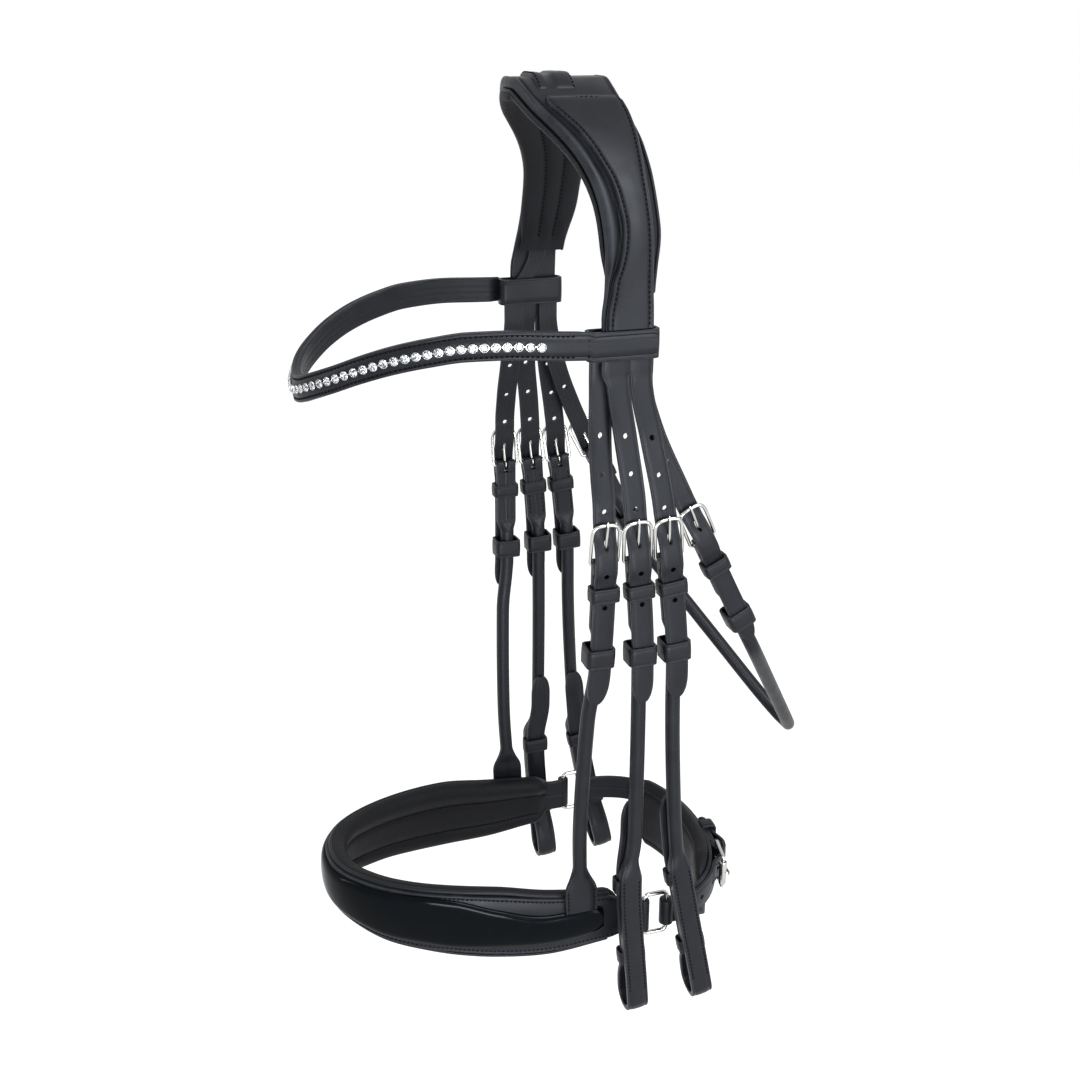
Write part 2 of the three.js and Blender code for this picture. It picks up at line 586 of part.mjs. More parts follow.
function crownPanel() {
  const turns = [QUARTER * CROWN.panelStartShare, 27, 34, 42, 50, 58, 66, 74, 82, 88];
  return loft(turns.map((turn, i) => {
    const [front, rear] = crownEdges(turn);
    let a = front + CROWN.groove * smooth(panelShares, turn / 90);
    let b = rear - CROWN.panelInset;
    if (i === 0) [a, b] = [a + CROWN.groove, b - CROWN.groove];
    const [low, high] = [GAP, GAP + LEATHER.panel];
    const edge = LEATHER.bevel;
    const crown = 0.25 * LEATHER.panel;
    return { ...archStation(turn), outline: [[a, low], [a, high - edge], [a + 2 * edge, high],
      [(a + b) / 2, high + crown], [b - 2 * edge, high], [b, high - edge], [b, low]] };
  }));
}

function pollPad() {
  const last = QUARTER * PAD.endShare;
  const turns = crownTurns.filter((turn) => Math.abs(turn) < last);
  const ends = [-last, ...turns, last];
  return loft(ends.map((turn) => {
    const [front, rear] = crownEdges(turn);
    const top = -CROWN.rim - GAP;
    const atEnd = Math.abs(turn) >= last;
    const depth = PAD.depth * (atEnd ? 0.35 : 1);
    const behind = PAD.behind * smooth(padRearShares, Math.abs(turn) / 90);
    const [a, b] = [front - (atEnd ? 0 : PAD.overhang), rear + behind];
    const [c, d] = [a + (b - a) * 0.36, a + (b - a) * 0.66];
    const low = top - depth;
    const dip = low + PAD.groove * (atEnd ? 0.2 : 1);
    const soft = depth * 0.3;
    const lip = PAD.channel;
    return { ...archStation(turn), outline: [
      [a + lip, top], [a, top - soft], [a, low + soft], [a + 2 * lip, low], [c - lip, low], [c, dip], [c + lip, low],
      [d - lip, low], [d, dip], [d + lip, low], [b - 2 * lip, low], [b, low + soft], [b, top - soft], [b - lip, top]] };
  }));
}

function nosebandHeadstrap() {
  const inner = -LEATHER.crown - GAP;
  const end = CROWN.stubDrop - HEADSTRAP.half - 2 * GAP - HEAD.loopDrop;
  const piece = (turn, share = 0) => {
    const start = smooth(headstrapRoute, Math.abs(turn) / QUARTER);
    const centre = start + (ROUTES.hanger[0][1] - start) * Math.min(1, 1.6 * share);
    return { ...archStation(turn, end * share), outline: flat(HEADSTRAP.half, inner - HEADSTRAP.thick, inner, centre) };
  };
  const ends = [1, 0.7, 0.35];
  return loft([...ends.map((share) => piece(-90, share)), ...crownTurns.map((turn) => piece(turn)),
    ...ends.slice().reverse().map((share) => piece(90, share))]);
}

add('crown_leather', crownLeather(), LOOKS.leather);
add('poll_pad', pollPad(), LOOKS.lining);
addPair('crown_panel', '', crownPanel(), LOOKS.leather);
add('noseband_headstrap', nosebandHeadstrap(), LOOKS.leather);

// Browband: half a superellipse in plan, with the wave in its height
function plan(half, reach, start, curve, turn) {
  const angle = radians(turn);
  const x = half * Math.sign(angle) * Math.abs(Math.sin(angle)) ** (2 / curve);
  const y = start - reach * Math.abs(Math.cos(angle)) ** (2 / curve);
  return at(x, y, 0);
}

function planStation(half, reach, start, curve, turn) {
  const o = plan(half, reach, start, curve, turn);
  const step = 0.5;
  const t = plan(half, reach, start, curve, Math.min(89.9, turn + step))
    .sub(plan(half, reach, start, curve, Math.max(-89.9, turn - step))).normalize();
  return { o, t, w: at(0, 0, 1), n: at(t.y, -t.x, 0) };
}

// The strip ends where it reaches the loop
function browTurns() {
  const reached = (BROW.start - BROW.loopFront + 4 * GAP) / BROW.reach;
  const end = THREE.MathUtils.radToDeg(Math.acos(reached ** (BROW.curve / 2)));
  const near = [3, 9, 15, 21, 28, 35, 43, 51, 60, 69, 76, end];
  return [...near.slice().reverse().map((turn) => -turn), ...near];
}

function browCentre(turn) {
  const share = 1 - Math.abs(turn) / QUARTER;
  return BROW.endDrop + BROW.dip * smooth(browDipShares, share);
}

function browStrip(turns, high, inner, outer) {
  return loft(turns.map((turn) => {
    const station = planStation(BROW.half, BROW.reach, BROW.start, BROW.curve, turn);
    station.o.z = -browCentre(turn);
    return { ...station, outline: flat(high / 2, inner, outer) };
  }));
}

function browband() {
  const outerFace = GAP + BROW.loopWall;
  const strip = browStrip(browTurns(), BROW.high, -BROW.lining, BROW.thick - LEATHER.bevel);
  const middle = (BROW.loopFront + BROW.loopRear) / 2;
  const frame = {
    put: (up, across, out) => at(HEAD.browHalf + out, middle + across, -BROW.endDrop + up),
    s: at(0, 0, 1), w: at(0, 1, 0), n: at(1, 0, 0),
  };
  const loop = keeper(frame, 0, BROW.loopHigh, (BROW.loopRear - BROW.loopFront) / 2, -BROW.loopDeep, GAP, BROW.loopWall);
  const soft = LEATHER.bevel;
  const [low, high] = [BROW.loopFront - 3 * BROW.loopWall, BROW.loopRear];
  const tab = loft([GAP + soft, outerFace + soft].map((out) => ({
    o: at(HEAD.browHalf + out, 0, -BROW.endDrop), w: at(0, 1, 0), n: at(0, 0, 1),
    outline: [[low, -BROW.high / 2], [high, -BROW.loopHigh / 2 + soft], [high, BROW.loopHigh / 2 - soft],
      [low, BROW.high / 2]],
  })));
  return join(strip, loop, tab, mirrored(loop), mirrored(tab));
}

function chainSpots() {
  const spots = [];
  let last = null;
  let travelled = 0;
  const limit = QUARTER * (1 - BROW.plainShare);
  const steps = 600;
  for (let i = 0; i <= steps; i += 1) {
    const turn = (limit * i) / steps;
    const { o } = planStation(BROW.half, BROW.reach, BROW.start, BROW.curve, turn);
    o.z = -browCentre(turn);
    if (last) travelled += o.distanceTo(last);
    last = o;
    if (travelled >= CHAIN.pitch * spots.length) spots.push(turn);
  }
  return spots;
}

function crystalChain() {
  const base = BROW.thick - LEATHER.bevel + GAP;
  const near = chainSpots();
  const turns = [...near.slice(1).reverse().map((turn) => -turn), ...near];
  const stations = turns.flatMap((turn) => {
    const { o, t, w, n } = planStation(BROW.half, BROW.reach, BROW.start, BROW.curve, turn);
    o.z = -browCentre(turn);
    const [far, near] = [CHAIN.cup, CHAIN.cup * CHAIN.cornerShare];
    return [[-far, near], [-near, far], [near, far], [far, near]].map(([along, half]) => ({
      o: o.clone().addScaledVector(t, along), w, n,
      outline: [[half, base], [half * CHAIN.tableShare, base + CHAIN.cupHigh],
        [-half * CHAIN.tableShare, base + CHAIN.cupHigh], [-half, base]],
    }));
  });
  return loft(stations);
}

add('browband', browband(), LOOKS.leather);
add('crystal_chain', crystalChain(), LOOKS.crystal);

// Cheekpieces
function cheekStrap(name) {
  const where = route(name);
  const frame = heelFrame(where, HEAD.buckleDrop);
  const heel = HEAD.buckleDrop;
  const half = STRAP.half;
  const top = chapeRows(heel, BUCKLE, half, STAGE.chapeEnd)
    .map(([drop, wide, inner, outer]) => ({ ...where(drop), outline: flat(wide, inner, outer) }));
  const rolls = [heel + STAGE.chapeEnd, ...rollDrops, CHEEK.flatDrop - CHEEK.flatLong].map((drop) => rollStation(where, drop));
  const thick = CHEEK.loopThick;
  const outer = 2;
  const sewn = [[CHEEK.flatDrop, -CHEEK.sewnInner], [CHEEK.pinchDrop - CHEEK.flatLong, -CHEEK.sewnInner],
    [CHEEK.pinchDrop, outer - thick]].map(([drop, inner]) => ({ ...where(drop), outline: flat(CHEEK.half, inner, outer) }));
  // The turn of the bit loop, in the plane of the strap's own out and down axes
  const at0 = where(CHEEK.turnDrop);
  const middle = outer - thick / 2;
  const turn = [0, 36, 72, 108, 144, 180].map((degrees) => {
    const angle = radians(degrees);
    const radius = CHEEK.loopBend;
    const o = at0.o.clone().addScaledVector(at0.n, middle - radius + radius * Math.cos(angle))
      .addScaledVector(at0.t, radius * Math.sin(angle));
    const n = at0.n.clone().multiplyScalar(Math.cos(angle)).addScaledVector(at0.t, Math.sin(angle));
    return { o, w: at0.w, n, outline: flat(CHEEK.half, -thick / 2, thick / 2) };
  });
  const back = CHEEK.billetThick / 2;
  const climb = [[CHEEK.turnDrop - 12, middle - 2 * CHEEK.loopBend + 1.6], [CHEEK.pinchDrop - 6, -CHEEK.billetNear],
    [CHEEK.studDrop, -CHEEK.billetNear], [CHEEK.flatDrop + CHEEK.flatLong, -CHEEK.billetNear],
    [CHEEK.flatDrop - 2 * CHEEK.flatLong, -CHEEK.billetBack]].map(([drop, out]) => {
    const place = where(drop);
    return { o: place.o.clone().addScaledVector(place.n, out), w: place.w, n: place.n.clone().negate(), outline: flat(CHEEK.half, -back, back) };
  });
  const tip = [[0.8, 0.97], [0.4, 0.8], [0.12, 0.45], [0, 0.12]].map(([left, wide]) => {
    const place = where(CHEEK.billetTip + STAGE.tipLong * left);
    return { o: place.o.clone().addScaledVector(place.n, -CHEEK.billetBack), w: place.w, n: place.n.clone().negate(), outline: flat(CHEEK.half * wide, -back, back) };
  });
  const strap = loft([...top, ...rolls, ...sewn, ...turn, ...climb, ...tip]);
  const lowKeepers = [CHEEK.keeperTopDrop, CHEEK.keeperLowDrop].map((drop) => {
    const local = heelFrame(where, drop + CHEEK.keeperHigh / 2);
    return keeper(local, 0, CHEEK.keeperHigh, CHEEK.half + KEEPER.side, -CHEEK.billetNear - 1.2 - back - GAP, -CHEEK.sewnInner + 1);
  });
  const hole = loft([-1, 1].map((side) => {
    const place = where(CHEEK.studDrop);
    return { o: place.o.clone().addScaledVector(place.n, -CHEEK.billetNear + side * (back + GAP)), w: place.w, n: place.t,
      outline: round(CHEEK.studPost + GAP + GAP, 0, 0, 8) };
  }));
  return join(cut(strap, hole), ...chapeLugs(frame, BUCKLE, half), fixedKeeper(frame, BUCKLE, half), ...lowKeepers);
}

function hookStud(name) {
  const place = route(name)(CHEEK.studDrop);
  const back = CHEEK.billetNear + CHEEK.billetThick / 2;
  const level = (out, radius) => ({ o: place.o.clone().addScaledVector(place.n, -out), w: place.w, n: place.t, outline: round(radius, 0, 0, 8) });
  const seat = CHEEK.sewnInner + GAP;
  return loft([level(seat, CHEEK.studPost * 0.9), level(back + GAP, CHEEK.studPost), level(back + 2 * GAP, CHEEK.studHead),
    level(back + 1.4, CHEEK.studHead * 0.9), level(back + 2.1, CHEEK.studHead * 0.4)]);
}

for (const name of ['front', 'rear']) {
  const where = route(name);
  const frame = heelFrame(where, HEAD.buckleDrop);
  const rise = BUCKLE.rise;
  const stem = `cheek_${name}`;
  const holes = HOLES[name];
  addPair(stem, '_billet', punched(billet(where, HEAD.buckleDrop, BUCKLE, STRAP.half, bendTop, STAGE.tip, false),
    where, holes), LOOKS.leather);
  addPair(stem, '_strap', cheekStrap(name), LOOKS.leather);
  addPair(stem, '_buckle', buckleFrame(frame, BUCKLE, rise), LOOKS.steel);
  addPair(stem, '_tongue', buckleTongue(frame, BUCKLE, rise, BUCKLE.long + 2 * BUCKLE.wire), LOOKS.steel);
  addPair(stem, '_keeper', slidingKeeper(where, HEAD.buckleDrop, BUCKLE, STRAP.half), LOOKS.leather);
  addPair(stem, '_stud', hookStud(name), LOOKS.steel);
}

// Hangers: the noseband's own cheeks, from the buckle down to the sewn foot

function hangerStrap() {
  const where = route('hanger');
  const heel = HEAD.buckleDrop;
  const frame = heelFrame(where, heel);
  const half = STRAP.half;
  const top = chapeRows(heel, BUCKLE, half, STAGE.chapeEnd)
    .map(([drop, wide, inner, outer]) => ({ ...where(drop), outline: flat(wide, inner, outer) }));
  const rolls = [heel + STAGE.chapeEnd, ...rollDrops, FOOT.roll].map((drop) => rollStation(where, drop));
  const foot = [[FOOT.drop, 0.8], [FOOT.drop + 0.4 * FOOT.half, 1], [FOOT.end, 1]].map(([drop, wide]) => {
    const place = where(drop);
    const inner = FOOT.face - place.o.x;
    return { ...place, outline: flat(FOOT.half * wide, inner, inner + FOOT.thick) };
  });
  return join(loft([...top, ...rolls, ...foot]), ...chapeLugs(frame, BUCKLE, half), fixedKeeper(frame, BUCKLE, half));
}

// Throat lash: one strap from buckle to buckle under the throat
const mirrorStation = ({ o, w, n, outline }) =>
  ({ o: at(-o.x, o.y, o.z), w: at(-w.x, w.y, w.z), n: at(-n.x, n.y, n.z), outline });

function throatStrap() {
  const where = route('throat');
  const heel = THROAT.heelDrop;
  const frame = heelFrame(where, heel);
  const half = STRAP.throatHalf;
  const { pace } = where(heel);
  const top = chapeRows(0, BUCKLE, half, THROAT.chapeEnd)
    .map(([far, wide, inner, outer]) => ({ ...where(heel + far / pace), outline: flat(wide, inner, outer) }));
  const [before, last] = ROUTES.throat.slice(-2).map(([drop]) => drop);
  const start = where(last).o;
  const strand = at(THROAT.strandHalf, THROAT.strandBehind, -THROAT.strandDrop);
  const spots = [where(heel + THROAT.chapeEnd / pace).o, where(before).o, start, start.clone().lerp(strand, 0.3),
    start.clone().lerp(strand, 0.65), strand, at(THROAT.turnHalf, THROAT.turnBehind, -THROAT.turnDrop),
    at(0, THROAT.apexBehind, -THROAT.apexDrop)];
  const behind = THROAT.apexBehind - smooth(ROUTES.throat, heel);
  const axis = at(0, THROAT.apexDrop - heel, behind).normalize();
  const lower = spots.map((o, i) => {
    const before = spots[Math.max(0, i - 1)];
    const after = i === spots.length - 1 ? at(-before.x, before.y, before.z) : spots[i + 1];
    const t = after.clone().sub(before).normalize();
    const w = axis.clone().addScaledVector(t, -axis.dot(t)).normalize();
    return { o, w, n: t.clone().cross(w), outline: round(THROAT.roll, -STRAP.rollDepth) };
  });
  const stations = [...top, ...lower];
  const whole = loft([...stations, ...stations.slice(0, -1).reverse().map(mirrorStation)]);
  const ends = [...chapeLugs(frame, BUCKLE, half), fixedKeeper(frame, BUCKLE, half)];
  return join(whole, ...ends, ...ends.map(mirrored));
}

{
  const where = route('hanger');
  const frame = heelFrame(where, HEAD.buckleDrop);
  const rise = BUCKLE.rise;
  addPair('hanger', '_billet', punched(billet(where, HEAD.buckleDrop, BUCKLE, STRAP.half, BEND, STAGE.tip, true),
    where, HOLES.hanger), LOOKS.leather);
  addPair('hanger', '_strap', hangerStrap(), LOOKS.leather);
  addPair('hanger', '_buckle', buckleFrame(frame, BUCKLE, rise), LOOKS.steel);
  addPair('hanger', '_tongue', buckleTongue(frame, BUCKLE, rise, BUCKLE.long + 2 * BUCKLE.wire), LOOKS.steel);
  addPair('hanger', '_keeper', slidingKeeper(where, HEAD.buckleDrop, BUCKLE, STRAP.half), LOOKS.leather);
}

{
  const where = route('throat');
  const frame = heelFrame(where, THROAT.heelDrop);
  const rise = BUCKLE.rise;
  addPair('throat', '_billet', punched(billet(where, THROAT.heelDrop, BUCKLE, STRAP.throatHalf, BEND, THROAT.tip, true),
    where, HOLES.throat), LOOKS.leather);
  add('throat_strap', throatStrap(), LOOKS.leather);
  addPair('throat', '_buckle', buckleFrame(frame, BUCKLE, rise), LOOKS.steel);
  addPair('throat', '_tongue', buckleTongue(frame, BUCKLE, rise, BUCKLE.long + 2 * BUCKLE.wire), LOOKS.steel);
  addPair('throat', '_keeper', slidingKeeper(where, THROAT.heelDrop, BUCKLE, STRAP.throatHalf, 44), LOOKS.leather);
}

// Noseband
const noseTurns = [90, 84, 78, 70, 61, 52, 43, 34, 25, 16, 7];
const bothWays = (turns) => [...turns.map((turn) => -turn), ...turns.slice().reverse()];
const noseTable = noseShares.map((share, i) => [share, ...noseDrops[i]]);
const noseDrop = (turn, column) => smooth(noseTable, Math.abs(turn) / QUARTER, column);
const noseStation = (turn) => {
  if (Math.abs(turn) < 89.9) return planStation(NOSE.half, NOSE.reach, NOSE.start, NOSE.curve, turn);
  const side = Math.sign(turn);
  return { o: at(NOSE.half * side, NOSE.start, 0), w: at(0, 0, 1), n: at(side, 0, 0) };
};

const between = (high, low, inner, outer, soft) => {
  const b = soft;
  return [[-low, inner + b], [-low, outer - b], [-low + b, outer], [-high - b, outer], [-high, outer - b],
    [-high, inner + b], [-high - b, inner], [-low + b, inner]];
};

function nosebandLeather() {
  const [outer, inner] = [NOSE.leatherFace, NOSE.leatherFace - NOSE.thick];
  const main = bothWays(noseTurns).map((turn) =>
    ({ ...noseStation(turn), outline: between(noseDrop(turn, 2), noseDrop(turn, 5), inner, outer, LEATHER.bevel) }));
  const tab = (side, y) => ({
    o: at(NOSE.half * side, y, 0), w: at(0, 0, 1), n: at(side, 0, 0),
    outline: between(RING.drop - NOSE.tabHigh / 2, RING.drop + NOSE.tabHigh / 2, inner, outer, LEATHER.bevel),
  });
  const ys = [RING.front, RING.front - 0.5 * NOSE.tabHigh];
  const body = loft([...ys.map((y) => tab(-1, y)), ...main, ...ys.slice().reverse().map((y) => tab(1, y))]);
  const lugOuter = RING.wire + GAP + RING.lug;
  const post = (radius, extra) => loft([-1, 1].map((share) => ({
    o: at(RING.x, RING.front, -RING.drop + share * (NOSE.tabHigh / 2 + extra)), w: at(1, 0, 0), n: at(0, 1, 0),
    outline: round(radius, 0, 0, 10),
  })));
  const eye = post(lugOuter, 0);
  const bore = post(RING.wire + GAP + 0.1 * RING.wire, OVER);
  return cut(join(body, eye, mirrored(eye)), bore, mirrored(bore));
}

function nosebandPad() {
  const outer = NOSE.leatherFace - NOSE.thick - GAP;
  const inner = outer - NOSE.pad;
  const rows = bothWays([90, 84, 77, 69, 60, 51, 42, 33, 24, 15, 6]).map((turn) => {
    const [high, low] = [noseDrop(turn, 1), noseDrop(turn, 6)];
    const tall = low - high;
    const waist = 0.62 * NOSE.pad;
    return { ...noseStation(turn), outline: [
      [-low, inner + 0.6 * NOSE.pad], [-low + 0.04 * tall, outer], [-high - 0.04 * tall, outer],
      [-high, inner + 0.62 * NOSE.pad], [-high - 0.07 * tall, inner + 0.14 * NOSE.pad], [-high - 0.17 * tall, inner],
      [-high - 0.3 * tall, inner + 0.2 * NOSE.pad], [-high - 0.38 * tall, outer - waist],
      [-high - 0.75 * tall, outer - waist], [-low + 0.08 * tall, inner + 0.34 * NOSE.pad]] };
  });
  const end = (side) => {
    const station = rows[side < 0 ? 0 : rows.length - 1];
    const middle = station.outline.reduce((sum, [a]) => sum + a, 0) / station.outline.length;
    return { ...station, o: at(NOSE.half * side, NOSE.start + NOSE.pad, 0),
      outline: station.outline.map(([a, b]) => [middle + (a - middle) * 0.75, outer + (b - outer) * 0.45]) };
  };
  return loft([end(-1), ...rows, end(1)]);
}

function nosebandPatent() {
  const [outer, inner] = [NOSE.patentFace, NOSE.leatherFace + GAP];
  return loft(bothWays([QUARTER * NOSE.patentEndShare, ...noseTurns.slice(1)]).map((turn, i, all) => {
    const [high, low] = [noseDrop(turn, 3), noseDrop(turn, 4)];
    const inset = i === 0 || i === all.length - 1 ? NOSE.lip : 0;
    const soft = 0.3 * (outer - inner);
    return { ...noseStation(turn), outline: [[-low + inset, inner], [-low + inset, outer - 2 * soft],
      [-low + inset + NOSE.lip, outer], [-high - inset - NOSE.lip, outer], [-high - inset, outer - 2 * soft],
      [-high - inset, inner]] };
  }));
}

function nosebandRing() {
  const [w, h, c] = [RING.across / 2, RING.half, RING.corner];
  const path = [];
  for (const [sy, sz, from] of [[1, 1, 0], [-1, 1, 90], [-1, -1, 180], [1, -1, 270]]) {
    for (const extra of [0, 45, 90]) {
      const angle = radians(from + extra);
      path.push([sy * (w - c) + c * Math.cos(angle), sz * (h - c) + c * Math.sin(angle)]);
    }
  }
  const place = ([y, z]) => at(RING.x, RING.front + w + y, -RING.drop + z);
  return loft(path.map((spot, i) => {
    const [before, after] = [path[(i + path.length - 1) % path.length], path[(i + 1) % path.length]];
    const t = place(after).sub(place(before)).normalize();
    const n = at(1, 0, 0);
    return { o: place(spot), w: t.clone().cross(n), n, outline: round(RING.wire, 0, 0, 6) };
  }), true);
}

add('noseband_leather', nosebandLeather(), LOOKS.leather);
add('noseband_pad', nosebandPad(), LOOKS.lining);
add('noseband_patent', nosebandPatent(), LOOKS.patent);
addPair('noseband_ring', '', nosebandRing(), LOOKS.steel);

// Chin strap: lengths run from the near ring's rear bar, round behind, to the off ring
const chinRear = RING.front + RING.across;
const chinCurve = (() => {
  const spots = [];
  const steps = 200;
  for (let k = 0; k <= steps; k += 1) {
    const angle = (Math.PI * k) / steps;
    const x = RING.x * Math.sign(Math.cos(angle)) * Math.abs(Math.cos(angle)) ** (2 / CHIN.curve);
    const y = chinRear + CHIN.behind * Math.abs(Math.sin(angle)) ** (2 / CHIN.curve);
    spots.push(at(x, y, -RING.drop + CHIN.lift * Math.sin(angle) ** 2));
  }
  const far = [0];
  for (let k = 1; k <= steps; k += 1) far.push(far[k - 1] + spots[k].distanceTo(spots[k - 1]));
  return { spots, far, long: far[steps] };
})();

function chinWhere(along) {
  const { spots, far, long } = chinCurve;
  const point = (d) => {
    if (d <= 0) return at(RING.x, chinRear + d, -RING.drop);
    if (d >= long) return at(-RING.x, chinRear + long - d, -RING.drop);
    const k = Math.max(1, far.findIndex((value) => value >= d));
    return spots[k - 1].clone().lerp(spots[k], (d - far[k - 1]) / (far[k] - far[k - 1]));
  };
  const step = RING.wire;
  const t = point(along + step).sub(point(along - step)).normalize();
  const w = at(0, 0, 1).addScaledVector(t, -t.z).normalize();
  return { o: point(along), t, w, n: t.clone().cross(w), pace: 1 };
}

const chinHeel = (() => {
  const frame = heelFrame(chinWhere, CHIN.heel);
  const o = frame.o.clone().addScaledVector(frame.n, CHIN.heelOut);
  return {
    ...frame, o,
    put: (up, across, out) => o.clone().addScaledVector(frame.s, up).addScaledVector(frame.w, across).addScaledVector(frame.n, out),
  };
})();
const chinRise = GAP + CHIN.billet + GAP + ROLLER.tube - CHIN.heelOut;

function chinStrap() {
  const { long } = chinCurve;
  const stops = Array.from({ length: CHIN.spans + 1 }, (_, k) => (long * k) / CHIN.spans);
  const main = strapAlong(chinWhere, stops.map((d) => [d, CHIN.half, -CHIN.thick, 0, 0]));
  const lugOuter = RING.wire + GAP + RING.play + RING.lug;
  const post = (side, radius, extra, play) => loft([-1, 1].map((share) => ({
    o: at(RING.x * side, chinRear, -RING.drop + share * (CHIN.half + extra)), w: at(1, 0, 0), n: at(0, 1, 0),
    outline: round(radius, 0, 0, 10).map(([a, b]) => [a + Math.sign(a) * play, b]),
  })));
  const eyes = [1, -1].map((side) => post(side, lugOuter, 0, 0));
  const bores = [1, -1].map((side) => post(side, RING.wire + GAP + 0.1 * RING.wire, OVER, RING.play));
  const t = CHIN.billet;
  const heel = CHIN.heel;
  const low = GAP + t / 2;
  const rise = heel - ROLLER.long + GAP;
  const up = heel - STAGE.slotTop + LEATHER.strap;
  const onBar = heel + STAGE.over;
  const centre = [[0, low], [rise, low + 0.1 * t], [up, low + 0.5 * t], [heel - CHIN.climb, CHIN.over - CHIN.underBar + t / 2],
    [heel, CHIN.over + t / 2], [onBar, CHIN.over + t / 2], [heel + STAGE.settle + CHIN.lift, CHIN.chapeOut + low],
    [long, CHIN.chapeOut + low]];
  const row = (d, wide) => {
    const n = smooth(centre, d);
    return [d, wide, n - t / 2, n + t / 2, 0];
  };
  const narrow = CHIN.half - LEATHER.bevel;
  const back = strapAlong(chinWhere, [
    ...[RING.wire, CHIN.step, 2 * CHIN.step, 3 * CHIN.step, rise, up, 0.5 * (up + heel - CHIN.climb), heel - CHIN.climb, heel,
      onBar, 0.5 * (onBar + heel + STAGE.settle), heel + STAGE.settle + CHIN.lift - OVER, heel + 2 * CHIN.step]
      .map((d) => row(d, narrow)),
    ...[[1, 1], [0.5, 0.86], [0.2, 0.6], [0, 0.16]].map(([left, wide]) => row(heel + CHIN.tip - STAGE.tipLong * left, narrow * wide)),
  ]);
  const slot = lug(heelFrame(chinWhere, heel), [[CHIN.slotLow, -t / 4], [CHIN.slotTop, -t / 4],
    [CHIN.slotTop, 6 * t], [CHIN.slotLow, 6 * t]], -ROLLER.tongue - GAP, ROLLER.tongue + GAP);
  const sunk = -2 * LEATHER.bevel;
  const chape = strapAlong(chinWhere, [[heel + 2 * CHIN.billet, narrow, sunk, CHIN.chapeOut, 0],
    [heel + CHIN.chape, narrow, sunk, CHIN.chapeOut, 0],
    [heel + CHIN.chape + CHIN.chapeLip, narrow * 0.7, sunk, 2 * GAP, 0]]);
  const hold = heelFrame(chinWhere, heel + CHIN.keeperBelow);
  const band = keeper(hold, 0, CHIN.keeperHigh, CHIN.half + KEEPER.side, sunk, CHIN.chapeOut + GAP + t + GAP + GAP);
  return join(cut(join(main, ...eyes, back), slot, ...bores), chape, ...chapeLugs(chinHeel, ROLLER, narrow), band);
}

function chinPad() {
  const { long } = chinCurve;
  const outer = -CHIN.thick - GAP;
  const count = CHIN.spans - 2 * CHIN.padSpan;
  const stations = Array.from({ length: count + 1 }, (_, k) => {
    const share = k / count;
    const place = chinWhere((long * (k + CHIN.padSpan)) / CHIN.spans);
    const full = Math.min(1, 0.42 + 1.9 * Math.min(share, 1 - share) ** 0.6);
    const shift = (-CHIN.padDrop - place.o.z) * full;
    const [h, inner] = [CHIN.padHalf * full, outer - CHIN.padThick * full];
    return { ...place, outline: [[shift + h, outer - 0.4 * CHIN.padThick * full], [shift + 0.92 * h, outer],
      [shift - 0.92 * h, outer], [shift - h, outer - 0.4 * CHIN.padThick * full], [shift - 0.9 * h, inner + 0.25 * CHIN.padThick * full],
      [shift - 0.6 * h, inner], [shift + 0.6 * h, inner], [shift + 0.9 * h, inner + 0.25 * CHIN.padThick * full]] };
  });
  return loft(stations);
}

function chinRoller() {
  const place = { ...chinHeel, o: chinHeel.put(ROLLER.long, 0, chinRise) };
  place.put = (up, across, out) => place.o.clone().addScaledVector(place.s, up).addScaledVector(place.w, across).addScaledVector(place.n, out);
  const half = ROLLER.half - 4 * GAP;
  const tube = lug(place, round(ROLLER.tube, 0, 0, 12), -half, half);
  return cut(tube, lug(place, round(ROLLER.wire + GAP, 0, 0, 8), -half - OVER, half + OVER));
}

add('chin_strap', chinStrap(), LOOKS.leather);
add('chin_pad', chinPad(), LOOKS.lining);
add('chin_buckle', buckleFrame(chinHeel, ROLLER, chinRise), LOOKS.steel);
add('chin_tongue', buckleTongue(chinHeel, ROLLER, chinRise, ROLLER.long + ROLLER.tube), LOOKS.steel);
add('chin_roller', chinRoller(), LOOKS.steel);

export default bridle;
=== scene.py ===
# %% [markdown]
# # A black snaffle bridle
# The bridle hangs from its headpiece, as it does from a peg in a tack room. It is leather work: flat and rolled
# straps, padded linings, a patent noseband, polished steel buckles and a chain of cut stones on the browband.
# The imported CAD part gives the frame, and every piece here is modelled in the same place as its solid.

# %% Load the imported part
import math

import bpy
import numpy as np
from mathutils import Matrix


